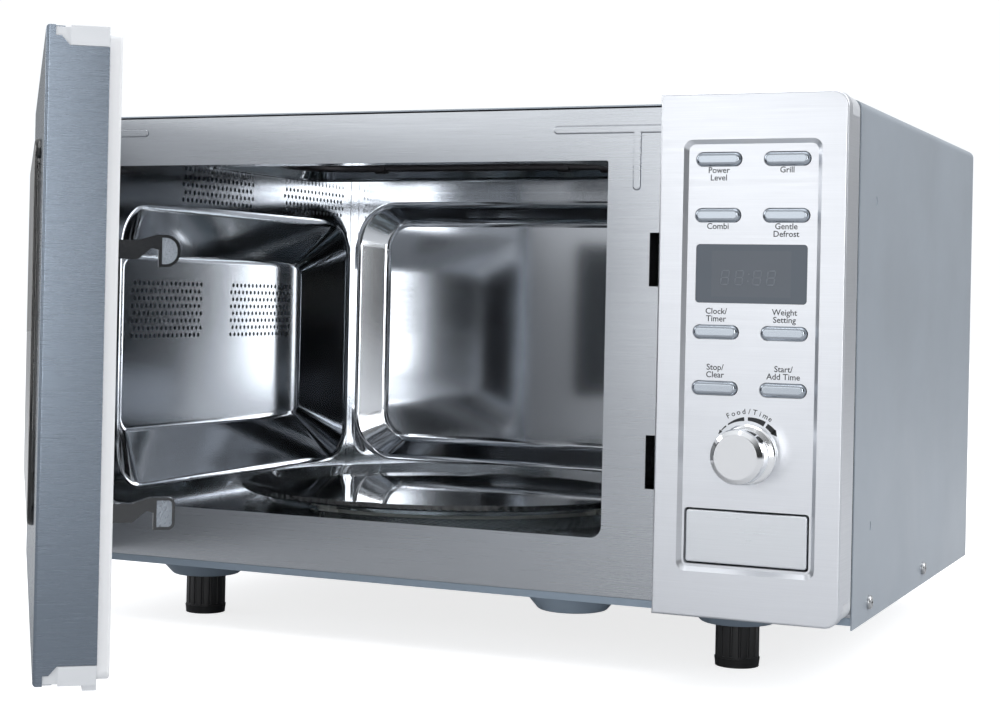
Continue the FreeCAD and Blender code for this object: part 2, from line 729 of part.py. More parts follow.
def high_voltage_transformer():
    x0, y0, z0 = bay_left + 18.0, face_y + 50.0, floor_z + sheet
    core = block(x0, x0 + 84, y0, y0 + 96, z0 + 3, z0 + 72)
    windings = []
    for start in (y0 + 18, y0 + 50):
        windings.append(block(x0 - 12, x0 + 96, start, start + 26, z0 + 14, z0 + 61))
    winding = windings[0].fuse(windings[1])
    winding = fillet_where(winding, 8.0, lambda e: along(e, 1))
    feet_plate = block(x0 - 12, x0 + 96, y0 + 4, y0 + 92, z0, z0 + 3)
    return join(core, winding, feet_plate)


def capacitor():
    x0, y0, z0 = bay_left + 14.0, face_y + 168.0, floor_z + sheet
    can = block(x0, x0 + 96, y0, y0 + 52, z0, z0 + 34)
    can = fillet_where(can, 15.0, lambda e: along(e, 0))
    ends = [rod(4.5, (x0 + 95, y0 + shift, z0 + 17), (1, 0, 0), 9.0) for shift in (16, 36)]
    return join(can, *ends)


def fan_duct():
    back = rear_y - 2 * sheet - 0.1 - fit_gap
    x0, x1 = fan_x - fan_radius - 12, fan_x + fan_radius + 12
    z0, z1 = fan_z - fan_radius - 12, fan_z + fan_radius + 12
    plate = block(x0, x1, back - 22, back, z0, z1)
    tunnel = rod(fan_radius + 4, (fan_x, back - 30, fan_z), (0, 1, 0), 40)
    duct = plate.cut(tunnel)
    bars = [block(x0 + 2, x1 - 2, back - 46, back - 42, fan_z - 4 + shift, fan_z + 4 + shift)
            for shift in (-16, 16)]
    posts = [block(x, x + 6, back - 46, back - 20, z, z + 8)
             for x in (x0 + 2, x1 - 8) for z in (fan_z - 20, fan_z + 12)]
    return join(duct, *bars, *posts)


def fan_motor():
    back = rear_y - 2 * sheet - 0.1 - fit_gap - 46
    stack = block(fan_x - 26, fan_x + 26, back - 22, back, fan_z - 22, fan_z + 22)
    coil = block(fan_x - 17, fan_x + 17, back - 28, back - 21, fan_z - 34, fan_z - 12)
    bore = rod(1.6 + running_gap, (fan_x, back - 26, fan_z), (0, 1, 0), 40)
    return join(stack, coil).cut(bore)


def fan_blade():
    """Five twisted blades on a hub, with the motor's shaft."""
    back = rear_y - 2 * sheet - 0.1 - fit_gap
    hub = rod(11.0, (fan_x, back - 20, fan_z), (0, 1, 0), 14)
    pieces = [rod(1.6, (fan_x, back - 64, fan_z), (0, 1, 0), 50)]
    for index in range(5):
        blade = block(fan_x + 8, fan_x + fan_radius, back - 13.8, back - 12.2, fan_z - 14, fan_z + 14)
        blade = fillet_where(blade, 8.0, lambda e: along(e, 1) and level(e, 0, fan_x + fan_radius))
        blade.rotate(Vector(fan_x, back - 13, fan_z), Vector(1, 0, 0), 24)
        blade.rotate(Vector(fan_x, 0, fan_z), Vector(0, 1, 0), 72 * index)
        pieces.append(blade)
    return join(hub, *pieces)


def cavity_lamp():
    x0 = bay_left
    cup = block(x0, x0 + 2, lamp_y - 20, lamp_y + 20, lamp_z - 20, lamp_z + 20)
    cup = cup.cut(rod(15.0, (x0 - 1, lamp_y, lamp_z), (1, 0, 0), 4))
    socket = rod(9.0, (x0 + 34, lamp_y, lamp_z), (1, 0, 0), 16)
    bulb = rod(7.0, (x0 + 14, lamp_y, lamp_z), (1, 0, 0), 22)
    bulb = fillet_where(bulb, 6.5, lambda e: level(e, 0, x0 + 14))
    arm = block(x0 + 1, x0 + 50, lamp_y + 9, lamp_y + 11, lamp_z - 6, lamp_z + 6)
    return join(cup, socket, bulb, arm)


def thermostats():
    """Cut-outs on the magnetron's yoke and on the cavity's right wall."""
    places = [(bay_left + 36.0 + 44.0, port_y + 24.0, port_z + 14.0), (bay_left, cavity_rear - 40.0, port_z)]
    pieces = []
    for x, y, z in places:
        disc = rod(8.0, (x, y, z), (1, 0, 0), 8.0)
        tabs = block(x + 7.5, x + 15, y - 5, y - 4, z - 3, z + 3)
        other = block(x + 7.5, x + 15, y + 4, y + 5, z - 3, z + 3)
        pieces.append(join(disc, tabs, other))
    return Part.makeCompound(pieces)


def filter_board():
    x0, y0, z0 = bay_left + 10.0, lamp_y + 30.0, top_z - 42.0
    board = block(x0, x0 + 100, y0, y0 + 62, z0, z0 + 1.6)
    choke = rod(12.0, (x0 + 24, y0 + 30, z0 + 1), (0, 0, 1), 18).cut(
        rod(5.0, (x0 + 24, y0 + 30, z0 + 1.6), (0, 0, 1), 20))
    fuse = rod(3.2, (x0 + 50, y0 + 14, z0 + 6), (1, 0, 0), 32)
    holders = [block(x, x + 5, y0 + 10, y0 + 18, z0 + 1, z0 + 7) for x in (x0 + 49, x0 + 78)]
    cap = block(x0 + 50, x0 + 78, y0 + 34, y0 + 46, z0 + 1, z0 + 20)
    return join(board, choke, fuse, cap, *holders)


# control housing

corner_radius = 8.0
knob_z = panel_low + knob_rise
display_z = panel_low + display_rise
release_z = panel_low + release_rise
frame_gap = 0.05
fascia_grow = fascia_sheet / 2
inner_front = panel_front + fascia_sheet
frame_front = inner_front + frame_gap
frame_back = frame_front + frame_wall
field_front = panel_front + field_depth
field_frame_front = frame_front + field_depth
field_frame_back = frame_back + field_depth
board_y = field_frame_back + 9.8


def button_places():
    return [(panel_mid + side * button_spread / 2, panel_low + row)
            for row in button_rows for side in (-1, 1)]


def pill(x, z, grow, y0, y1):
    half_l, half_h = button_length / 2 + grow, button_height / 2 + grow
    return rounded_slab(x - half_l, x + half_l, z - half_h, z + half_h, half_h - 0.01, y0, y1)


def panel_cutters():
    """Openings for the controls, cut alike through the steel face and the moulding."""
    y0, y1 = panel_front - 3, field_frame_back + 3
    cutters = [pill(x, z, button_gap, y0, y1) for x, z in button_places()]
    half_w, half_h = display_width / 2, display_height / 2
    cutters.append(rounded_slab(panel_mid - half_w, panel_mid + half_w, display_z - half_h,
                                display_z + half_h, 2.0, y0, y1))
    cutters.append(rod(4.5, (panel_mid, y0, knob_z), (0, 1, 0), y1 - y0))
    half_w, half_h = release_width / 2 + release_gap, release_height / 2 + release_gap
    cutters.append(rounded_slab(panel_mid - half_w, panel_mid + half_w, release_z - half_h,
                                release_z + half_h, 2.0, y0, y1))
    return cutters


def housing_body(inset, y0, y1):
    """Front outline of the control housing: square on the left, rounded on the right."""
    left, right = panel_left + inset, half_width - inset
    body = block(left, right, y0, y1, panel_low + inset, panel_high - inset)
    return fillet_where(body, corner_radius - inset, lambda e: along(e, 1) and level(e, 0, right))


def pressed_field(front, grow):
    """Shallow sunken field behind the controls, with sloping sides, from one of its layers back."""
    def ring(shrink, y):
        half = field_width / 2 - shrink + grow
        low = panel_low + field_rise + shrink - grow
        high = panel_low + field_rise + field_height - shrink + grow
        return outline(panel_mid - half, panel_mid + half, low, high, field_radius - shrink * 0.5 + grow,
                       lambda a, b: Vector(a, y, b))
    return Part.makeLoft([ring(0.0, front), ring(field_slope, front + field_depth)], True, True)


def control_fascia():
    side_depth = 25.0
    shell = housing_body(0.0, panel_front, panel_front + side_depth)
    shell = fillet_where(shell, 1.2, lambda e: level(e, 1, panel_front))
    shell = shell.cut(housing_body(fascia_sheet, inner_front, panel_front + side_depth + 1))
    short = 9.0
    trim = [block(panel_left - 1, half_width - corner_radius, panel_front + short, panel_front + 40,
                  panel_low - 1, panel_high + 1),
            block(half_width - corner_radius - 1, half_width + 1, panel_front + short, panel_front + 40,
                  panel_high - 12.0, panel_high + 1),
            block(half_width - corner_radius - 1, half_width + 1, panel_front + short, panel_front + 40,
                  panel_low - 1, panel_low + 12.0)]
    shell = shell.cut(Part.makeCompound(trim)).fuse(pressed_field(inner_front, fascia_grow))
    return shell.cut(pressed_field(panel_front, 0.0)).cut(Part.makeCompound(panel_cutters())).removeSplitter()


def control_frame():
    inset = fascia_sheet + 0.05
    body = housing_body(inset, frame_front, face_y - bead_height - fit_gap)
    room = housing_body(inset + frame_wall, frame_back, face_y + 5)
    body = body.cut(room).fuse(pressed_field(frame_back, fascia_grow + frame_gap + frame_wall / 2))
    body = body.cut(pressed_field(frame_front, fascia_grow + frame_gap)).cut(Part.makeCompound(panel_cutters()))
    window_seat = block(panel_mid - display_width / 2 - 4, panel_mid + display_width / 2 + 4,
                        field_frame_front - 1, field_frame_front + 0.9, display_z - display_height / 2 - 3,
                        display_z + display_height / 2 + 3)
    posts = [rod(3.0, (x, frame_back - 0.2, z), (0, 1, 0), board_y - frame_back + 0.2)
             for x in (panel_left + 9, half_width - 9) for z in (panel_low + 64, panel_high - 20)]
    return join(body.cut(window_seat), *posts)


def display_window():
    half_w, half_h = display_width / 2, display_height / 2
    face = rounded_slab(panel_mid - half_w + 0.1, panel_mid + half_w - 0.1, display_z - half_h + 0.1,
                        display_z + half_h - 0.1, 1.9, field_front + 0.2, field_frame_front)
    flange = block(panel_mid - half_w - 3.8, panel_mid + half_w + 3.8,
                   field_frame_front, field_frame_front + 0.8,
                   display_z - half_h - 2.8, display_z + half_h + 2.8)
    return join(face, flange)


def encoder_body():
    body = block(panel_mid - 6, panel_mid + 6, board_y - 7, board_y + 0.1, knob_z - 6.5, knob_z + 6.5)
    bush = rod(4.0, (panel_mid, field_frame_front, knob_z), (0, 1, 0), board_y - 6.5 - field_frame_front)
    return join(body, bush)


def control_board():
    """Circuit board with its soldered display, switches, encoder body and transformer."""
    display = block(panel_mid - 27, panel_mid + 27, field_frame_front + 1.2, board_y + 0.1,
                    display_z - 12, display_z + 12)
    board = block(panel_left + 5, half_width - 5, board_y, board_y + 1.6, panel_low + 58, panel_high - 14)
    parts = []
    for x, z in button_places():
        parts.append(block(x - 3, x + 3, board_y - 3.5, board_y, z - 3, z + 3))
    parts.append(block(panel_left + 12, panel_left + 34, board_y + 1.6, board_y + 13,
                       panel_low + 66, panel_low + 84))
    parts.append(block(half_width - 44, half_width - 14, board_y + 1.6, board_y + 9,
                       panel_low + 150, panel_low + 190))
    bore = rod(shaft_radius + running_gap, (panel_mid, field_front - 2, knob_z), (0, 1, 0), 14)
    return join(board, display, encoder_body(), *parts).cut(bore)


def encoder_shaft():
    return rod(shaft_radius, (panel_mid, field_front - 13.0, knob_z), (0, 1, 0), 24.0)


def knob():
    start = field_front - 0.4
    tip = start - knob_length
    waist = knob_radius - 1.8
    points = [(0, start), (knob_base_radius, start), (knob_base_radius, start - 1.8),
              (knob_base_radius - 0.8, start - 2.6), (waist, start - 3.2), (waist, start - 6.0),
              (knob_radius - 0.4, start - 9.5), (knob_radius, start - 11.0), (knob_radius, tip + 2.8),
              (knob_radius - 0.5, tip + 1.8), (knob_radius - 2.6, tip + 0.2), (knob_radius - 3.0, tip),
              (0, tip)]
    corners = [Vector(panel_mid + a, b, knob_z) for a, b in points]
    body = Part.Face(Part.makePolygon(corners + corners[:1])).revolve(
        Vector(panel_mid, 0, knob_z), Vector(0, 1, 0), 360)
    return body.cut(rod(shaft_radius, (panel_mid, start + 1, knob_z), (0, -1, 0), 14.0))


def push_button(x, z):
    cap = pill(x, z, 0.0, field_front - button_proud, field_frame_back + 0.9)
    cap = fillet_where(cap, button_round, lambda e: level(e, 1, field_front - button_proud))
    flange = pill(x, z, 1.4, field_frame_back + 0.1, field_frame_back + 1.1)
    stem_end = board_y - 3.5 - button_travel - 0.2
    stem = rod(1.8, (x, field_frame_back + 0.5, z), (0, 1, 0), stem_end - field_frame_back - 0.5)
    return join(cap, flange, stem)


lever_y = face_y + 5.0
lever_pivot_z = panel_low + 59.0
lever_arm = 25.0


def release_button():
    half_w, half_h = release_width / 2, release_height / 2
    front = field_front - 0.3
    cap = rounded_slab(panel_mid - half_w, panel_mid + half_w, release_z - half_h, release_z + half_h,
                       1.5, front, field_front + 9.0)
    cap = fillet_where(cap, 0.8, lambda e: level(e, 1, front))
    hollow = block(panel_mid - half_w + 2.5, panel_mid + half_w - 2.5, front + 2.5, field_front + 10.0,
                   release_z - half_h + 2.5, release_z + half_h - 2.5)
    rib_z = lever_pivot_z - lever_arm
    stem = block(panel_mid - 20, panel_mid - 12, front + 2, lever_y - 0.4, rib_z - 3, rib_z + 3)
    return join(cap.cut(hollow), stem)


def release_lever():
    """Rocker behind the release button; its long finger reaches under the lower hook."""
    drop = lever_arm + 7.0
    pad = block(panel_mid - 26, panel_mid - 6, lever_y, lever_y + 3, lever_pivot_z - drop, lever_pivot_z)
    shaft = rod(shaft_radius, (hook_x - 4, lever_y + 3, lever_pivot_z), (1, 0, 0), panel_mid - 2 - hook_x + 4)
    finger = block(hook_x - 3, hook_x + 3, lever_y + 3, lever_y + 24, lever_pivot_z - 1.5, lever_pivot_z + 1.5)
    return join(pad, shaft, finger)


def latch_housing():
    """Moulding behind the front plate that the two hooks enter."""
    x0, x1 = hook_x - 10.0, hook_x + 16.0
    y0, y1 = face_y + sheet, face_y + 36.0
    z0, z1 = lever_pivot_z + 6.0, panel_low + slot_rises[0] + slot_height / 2 + 5
    body = block(x0, x1, y0, y1, z0, z1)
    cuts = []
    for rise in slot_rises:
        middle = panel_low + rise
        low = middle - slot_height / 2 - 1.5
        cuts.append(block(hook_x - slot_width / 2 - 1, hook_x + slot_width / 2 + 2, y0 - 1, y1 - 4,
                          min(low, z0 - 1) if rise == slot_rises[1] else low, middle + slot_height / 2 + 1.5))
    middle_low = panel_low + slot_rises[1] + slot_height / 2 + 5
    middle_high = panel_low + slot_rises[0] - slot_height / 2 - 5
    cuts.append(block(x0 + 3, x1 + 1, y0 + 3, y1 - 3, middle_low, middle_high))
    return body.cut(Part.makeCompound(cuts))


def interlock_switches():
    """Three snap switches that feel for the closed latch."""
    pieces = []
    x0, y0 = hook_x + 16.2, face_y + 6.0
    for index in range(3):
        z = panel_low + slot_rises[1] + 20.0 + index * 27.0
        body = block(x0, x0 + 10.3, y0, y0 + 16, z, z + 27.0 - 1.0)
        tabs = [block(x0 + 4, x0 + 6, y0 + 15, y0 + 22, z + shift, z + shift + 5) for shift in (3, 18)]
        pieces.append(join(body, *tabs))
    return Part.makeCompound(pieces)


# door, drawn closed and then swung open

skin = 0.7
cover_depth = 5.4
frame_depth = door_thickness - cover_depth
window_margin_free = 72.0
window_margin_hinge = 62.0
window_margin_low = 58.0
window_margin_high = 42.0
window_proud = 3.0
window_x0 = door_left + window_margin_hinge
window_x1 = door_right - window_margin_free
window_z0 = panel_low + window_margin_low
window_z1 = panel_high - window_margin_high
notch = tongue_thickness + 2.0
notch_reach = hinge_x + tongue_half + 1.4
bar_half = 4.0
bar_gap = 0.4
bar_y0 = door_outer + 9.0
bar_y1 = door_outer + 18.0
bar_z0 = panel_low + hook_rises[1] - 14.0
bar_z1 = panel_low + hook_rises[0] + 12.0
spring_length = 22.0


def door_skin():
    """Steel front of the door, folded back over its four edges."""
    body = block(door_left, door_right, door_outer, door_outer + frame_depth, panel_low, panel_high)
    body = fillet_where(body, 1.6, lambda e: level(e, 1, door_outer))
    room = block(door_left + skin, door_right - skin, door_outer + skin, door_outer + 60,
                 panel_low + skin, panel_high - skin)
    window = rounded_slab(window_x0 + 6, window_x1 - 6, window_z0 + 6, window_z1 - 6, 8.0,
                          door_outer - 1, door_outer + 5)
    cuts = [window]
    short = door_outer + 8.0
    cuts.append(block(door_left - 1, door_right - 2, short, door_outer + 60, panel_low - 1, panel_low + 6))
    cuts.append(block(door_left - 1, door_right - 2, short, door_outer + 60, panel_high - 6, panel_high + 1))
    cuts.append(block(door_left - 1, door_left + 2, short, door_outer + 60, panel_low - 1, panel_high + 1))
    for z, side in ((panel_low, 1), (panel_high, -1)):
        points = [(4.0, -2.0), (4.0, 4.5), (6.5, 4.5), (10.0, 8.5), (40.0, 8.5), (40.0, -2.0)]
        corners = [Vector(door_right - 3, door_outer + depth, z + side * rise) for depth, rise in points]
        wedge = Part.Face(Part.makePolygon(corners + corners[:1])).extrude(Vector(6, 0, 0))
        cuts.append(wedge)
    return body.cut(room).cut(Part.makeCompound(cuts))


def door_frame():
    """Moulding that fills the skin, carries the glass and turns on the hinge pins."""
    inset = skin + 0.05
    body = block(door_left + inset, door_right - inset, door_outer + inset, door_outer + frame_depth - 0.1,
                 panel_low + inset, panel_high - inset)
    room_left, room_right = door_left + 26.0, door_right - 24.0
    room = block(room_left, room_right, door_outer + inset + 3.0, door_outer + 60,
                 panel_low + 24.0, panel_high - 24.0)
    window = rounded_slab(window_x0 + 6.1, window_x1 - 6.1, window_z0 + 6.1, window_z1 - 6.1, 8.0,
                          door_outer - 1, door_outer + 10)
    cuts = [room, window]
    for z in (upper_tongue_z, lower_tongue_z):
        cuts.append(block(door_left - 1, notch_reach, hinge_y - 14.0, door_inner + 1,
                          z - 1.0, z - 1.0 + notch))
    cuts.append(rod(shaft_radius + running_gap, (hinge_x, hinge_y, upper_tongue_z - hinge_pin_length - 1),
                    (0, 0, 1), hinge_pin_length + 2))
    cuts.append(rod(shaft_radius + running_gap, (hinge_x, hinge_y, lower_tongue_z), (0, 0, 1),
                    hinge_pin_length + tongue_thickness + 1))
    cuts.append(block(hook_x - bar_half - bar_gap, hook_x + bar_half + bar_gap,
                      bar_y0 - bar_gap, bar_y1 + bar_gap, bar_z0 - bar_gap, bar_z1 + spring_length + 0.2))
    for rise in hook_rises:
        middle = panel_low + rise
        cuts.append(block(hook_x - hook_thickness / 2 - 0.6, hook_x + hook_thickness / 2 + 0.6, bar_y0,
                          door_inner + 1, middle - hook_head / 2 - 1, middle + hook_head / 2 + latch_lift + 1))
    body = body.cut(Part.makeCompound(cuts))
    caps = []
    for z0, z1 in ((panel_low, panel_low + 8.3), (panel_high - 8.3, panel_high)):
        caps.append(block(door_right - inset - 1, door_right, door_outer + 10.3, door_outer + frame_depth - 0.1,
                          z0, z1))
    foot = block(door_right - 14.0, door_right - 1.0, door_outer + frame_depth - 6.0,
                 door_outer + frame_depth - 0.1, panel_low - 2.4, panel_low + 3)
    return join(body, foot, *caps)


def door_window():
    """Dark outer glass that stands a little proud of the steel."""
    outer = rounded_slab(window_x0, window_x1, window_z0, window_z1, 12.0,
                         door_outer - window_proud, door_outer - 0.05)
    outer = fillet_where(outer, 1.8, lambda e: level(e, 1, door_outer - window_proud))
    seat = rounded_slab(window_x0 + 6.4, window_x1 - 6.4, window_z0 + 6.4, window_z1 - 6.4, 7.7,
                        door_outer - 0.1, door_outer + 3.0)
    return join(outer, seat)


choke_front = door_outer + 14.0


def door_choke_panel():
    """Pressed steel inner panel with the choke channel round its edge."""
    x0, x1 = door_left + 26.6, door_right - 24.6
    z0, z1 = panel_low + 24.6, panel_high - 24.6
    back = door_outer + frame_depth - 0.3
    tray = block(x0, x1, choke_front, back, z0, z1)
    room = block(x0 + 1, x1 - 1, choke_front + 1, back + 1, z0 + 1, z1 - 1)
    wall = block(x0 + 16, x1 - 16, choke_front, back, z0 + 16, z1 - 16)
    well = block(x0 + 17, x1 - 17, choke_front - 1, back + 1, z0 + 17, z1 - 17)
    lip = block(x0 + 17, x1 - 17, back - 1, back, z0 + 17, z1 - 17)
    lip = lip.cut(block(window_x0 + 12, window_x1 - 12, back - 3, back + 3, window_z0 + 12, window_z1 - 12))
    return join(tray.cut(room).fuse(wall).cut(well), lip)


def door_screen():
    """Perforated radiation screen; its fine holes are too small to cut one by one."""
    back = door_outer + frame_depth - 1.3
    return block(window_x0 + 10.5, window_x1 - 10.5, back - 0.5, back, window_z0 + 10.5, window_z1 - 10.5)


inner_margin = 1.6


def door_inner_cover():
    """Moulded cover over the choke, on the cavity side of the door."""
    x0, x1 = door_left + 4.5, door_right - inner_margin
    front = door_outer + frame_depth
    cover = rounded_slab(x0, x1, panel_low + inner_margin, panel_high - inner_margin, 4.0, front, door_inner)
    cover = fillet_where(cover, 1.2, lambda e: level(e, 1, door_inner))
    cuts = [rounded_slab(window_x0 + 14, window_x1 - 14, window_z0 + 14, window_z1 - 14, 8.0, front - 1,
                         door_inner + 1)]
    for rise in hook_rises:
        middle = panel_low + rise
        cuts.append(block(hook_x - hook_thickness / 2 - 0.6, hook_x + hook_thickness / 2 + 0.6, front - 1,
                          door_inner + 1, middle - hook_head / 2 - 1, middle + hook_head / 2 + latch_lift + 1))
    for z in (upper_tongue_z, lower_tongue_z):
        cuts.append(block(door_left - 1, notch_reach, front - 1, door_inner + 1, z - 1.0, z - 1.0 + notch))
    return cover.cut(Part.makeCompound(cuts))


def door_inner_window():
    front = door_outer + frame_depth + 1.0
    return rounded_slab(window_x0 + 14.2, window_x1 - 14.2, window_z0 + 14.2, window_z1 - 14.2, 7.8,
                        front, front + 2.5)


def latch_hooks():
    """One bar with two hooks, which lifts against its spring."""
    bar = block(hook_x - bar_half, hook_x + bar_half, bar_y0, bar_y1, bar_z0, bar_z1)
    pieces = []
    reach = door_inner + hook_reach
    head_back = reach - head_length
    side = hook_x + hook_thickness / 2
    for rise, corner in zip(hook_rises, head_corners):
        middle = panel_low + rise
        low, high = middle - hook_head / 2, middle + hook_head / 2
        arm_top = high - 2.6
        points = [(bar_y1 - 1, arm_top - arm_height), (head_back - 9.0, arm_top - arm_height),
                  (head_back - 3.0, high - 5.8), (head_back, high - 6.6), (head_back, low), (reach, low),
                  (reach, high), (head_back - 1.0, high), (head_back - 9.0, arm_top), (bar_y1 - 1, arm_top)]
        corners = [Vector(side - hook_thickness, y, z) for y, z in points]
        hook = Part.Face(Part.makePolygon(corners + corners[:1])).extrude(Vector(hook_thickness, 0, 0))
        hook = fillet_where(hook, corner, lambda e: along(e, 0) and level(e, 1, reach))
        inset = block(side - 0.8, side + 1, head_back + 1.3, reach - 1.3, low + 1.3, high - 1.3)
        inset = fillet_where(inset, corner - 1.3, lambda e: along(e, 0) and level(e, 1, reach - 1.3))
        pieces.append(hook.cut(inset))
    return join(bar, *pieces)


def latch_spring():
    """Compression spring that holds the hooks down."""
    wire_radius, coil_radius = 0.45, 3.2
    low = bar_z1 + wire_radius + 0.05
    high = bar_z1 + spring_length - wire_radius - 0.05
    middle = Vector(hook_x, (bar_y0 + bar_y1) / 2, low)
    helix = Part.makeHelix((high - low) / 6, high - low, coil_radius)
    ring = Part.Wire([Part.Circle(Vector(coil_radius, 0, 0), Vector(0, 1, 0), wire_radius).toShape()])
    coil = Part.Wire(helix.Edges).makePipeShell([ring], True, True)
    coil.translate(middle)
    return coil


def build():
    parts = {
        "outer_wrapper": outer_wrapper(), "base_plate": base_plate(), "rear_panel": rear_panel(),
        "front_plate": front_plate(), "cavity_left_wall": cavity_left_wall(),
        "cavity_right_wall": cavity_right_wall(), "cavity_rear_wall": cavity_rear_wall(),
        "cavity_ceiling": cavity_ceiling(), "cavity_floor": cavity_floor(),
        "waveguide_cover": waveguide_cover(), "waveguide": waveguide(), "grill_heater": grill_heater(),
        "glass_turntable": glass_turntable(),
        "turntable_coupler": turntable_coupler(), "turntable_shaft": turntable_shaft(),
        "turntable_motor": turntable_motor(), "roller_ring": roller_ring(), "magnetron": magnetron(),
        "high_voltage_transformer": high_voltage_transformer(), "capacitor": capacitor(),
        "fan_duct": fan_duct(), "fan_motor": fan_motor(), "fan_blade": fan_blade(),
        "cavity_lamp": cavity_lamp(), "thermostats": thermostats(), "filter_board": filter_board(),
        "control_fascia": control_fascia(), "control_frame": control_frame(),
        "display_window": display_window(), "control_board": control_board(),
        "encoder_shaft": encoder_shaft(), "knob": knob(), "release_button": release_button(),
        "release_lever": release_lever(), "latch_housing": latch_housing(),
        "interlock_switches": interlock_switches(), "feet": feet(), "cover_screws": cover_screws(),
        "cord_gland": cord_gland(), "hinge_brackets": hinge_brackets(),
    }
    for index in range(3):
        parts["roller_%d" % (index + 1)] = roller(index)
    for index, (x, z) in enumerate(button_places()):
        parts["push_button_%d" % (index + 1)] = push_button(x, z)
    door = {
        "door_skin": door_skin(), "door_frame": door_frame(), "door_window": door_window(),
        "door_choke_panel": door_choke_panel(), "door_screen": door_screen(),
        "door_inner_cover": door_inner_cover(), "door_inner_window": door_inner_window(),
        "latch_hooks": latch_hooks(), "latch_spring": latch_spring(),
    }
    for name, shape in door.items():
        parts[name] = open_door(shape)
    return parts


os.makedirs("parts", exist_ok=True)
for node, shape in build().items():
    shape.exportStep("parts/%s.step" % node)
    print("%-26s solids %d valid %s volume %.0f" % (node, len(shape.Solids), shape.isValid(), shape.Volume))
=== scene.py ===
import math
import bmesh
import bpy
from mathutils import Matrix, Vector


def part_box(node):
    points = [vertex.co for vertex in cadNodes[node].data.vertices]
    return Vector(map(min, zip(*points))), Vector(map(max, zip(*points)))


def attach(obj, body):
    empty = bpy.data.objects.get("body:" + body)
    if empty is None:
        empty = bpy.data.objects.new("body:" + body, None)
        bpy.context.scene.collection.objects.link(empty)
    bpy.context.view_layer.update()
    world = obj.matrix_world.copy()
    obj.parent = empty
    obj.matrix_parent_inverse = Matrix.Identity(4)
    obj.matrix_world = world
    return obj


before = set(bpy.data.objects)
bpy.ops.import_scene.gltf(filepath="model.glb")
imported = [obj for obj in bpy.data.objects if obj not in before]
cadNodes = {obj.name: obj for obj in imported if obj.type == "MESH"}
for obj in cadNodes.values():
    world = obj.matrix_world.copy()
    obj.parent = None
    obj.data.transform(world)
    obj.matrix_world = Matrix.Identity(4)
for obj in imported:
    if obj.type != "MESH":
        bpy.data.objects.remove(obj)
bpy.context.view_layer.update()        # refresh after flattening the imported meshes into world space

scene = bpy.context.scene
mm = 0.001
print("frame loaded:", len(cadNodes), "nodes")


# small helpers for node trees

def addNode(tree, kind, place, **settings):
    node = tree.nodes.new(kind)
    node.location = place
    for name, value in settings.items():
        setattr(node, name, value)
    return node


def mathNode(tree, operation, place, first=None, second=None, third=None):
    node = addNode(tree, "ShaderNodeMath", place, operation=operation)
    for index, source in enumerate((first, second, third)):
        if source is None:
            continue
        if isinstance(source, (int, float)):
            node.inputs[index].default_value = source
        else:
            tree.links.new(source, node.inputs[index])
    return node.outputs[0]


def mixColors(tree, factor, first, second, place, blend="MIX"):
    node = addNode(tree, "ShaderNodeMix", place, data_type="RGBA", blend_type=blend)
    for name, source in (("Factor", factor), ("A", first), ("B", second)):
        socket = node.inputs[name]
        if isinstance(source, bpy.types.NodeSocket):
            tree.links.new(source, socket)
        elif isinstance(source, (int, float)):
            socket.default_value = source
        else:
            socket.default_value = (*source, 1.0)
    return node.outputs["Result"]


def rangeNode(tree, source, fromLow, fromHigh, toLow, toHigh, place):
    node = addNode(tree, "ShaderNodeMapRange", place)
    tree.links.new(source, node.inputs["Value"])
    node.inputs["From Min"].default_value = fromLow
    node.inputs["From Max"].default_value = fromHigh
    for name, value in (("To Min", toLow), ("To Max", toHigh)):
        if isinstance(value, bpy.types.NodeSocket):
            tree.links.new(value, node.inputs[name])
        else:
            node.inputs[name].default_value = value
    return node.outputs["Result"]


def newGroup(name, inputs, outputs):
    group = bpy.data.node_groups.new(name, "ShaderNodeTree")
    for label, kind, value in inputs:
        socket = group.interface.new_socket(name=label, in_out="INPUT", socket_type=kind)
        if value is not None:
            socket.default_value = value
    for label, kind in outputs:
        group.interface.new_socket(name=label, in_out="OUTPUT", socket_type=kind)
    return group, group.nodes.new("NodeGroupInput"), group.nodes.new("NodeGroupOutput")


# shared surface effects

def makeBrushGroup():
    group, start, end = newGroup(
        "brushedLines",
        (("Vector", "NodeSocketVector", None), ("Stretch", "NodeSocketVector", (6.0, 900.0, 900.0)),
         ("Contrast", "NodeSocketFloat", 1.0)),
        (("Shade", "NodeSocketFloat"), ("Rough", "NodeSocketFloat"), ("Height", "NodeSocketFloat")))
    links = group.links
    scaled = addNode(group, "ShaderNodeVectorMath", (-600, 0), operation="MULTIPLY")
    links.new(start.outputs["Vector"], scaled.inputs[0])
    links.new(start.outputs["Stretch"], scaled.inputs[1])
    fine = addNode(group, "ShaderNodeTexNoise", (-400, 150))
    fine.inputs["Scale"].default_value = 1.0
    fine.inputs["Detail"].default_value = 3.0
    fine.inputs["Roughness"].default_value = 0.6
    broad = addNode(group, "ShaderNodeTexNoise", (-400, -150))
    broad.inputs["Scale"].default_value = 0.3
    broad.inputs["Detail"].default_value = 2.0
    links.new(scaled.outputs[0], fine.inputs["Vector"])
    links.new(scaled.outputs[0], broad.inputs["Vector"])
    both = mathNode(group, "MULTIPLY_ADD", (-200, 0), broad.outputs["Fac"], 0.25, fine.outputs["Fac"])
    centred = mathNode(group, "SUBTRACT", (-60, 0), both, 0.625)
    spread = mathNode(group, "MULTIPLY", (80, 0), centred, start.outputs["Contrast"])
    links.new(mathNode(group, "ADD", (220, 60), spread, 0.5), end.inputs["Shade"])
    links.new(mathNode(group, "MULTIPLY_ADD", (220, -60), spread, -0.8, 0.5), end.inputs["Rough"])
    links.new(fine.outputs["Fac"], end.inputs["Height"])
    return group


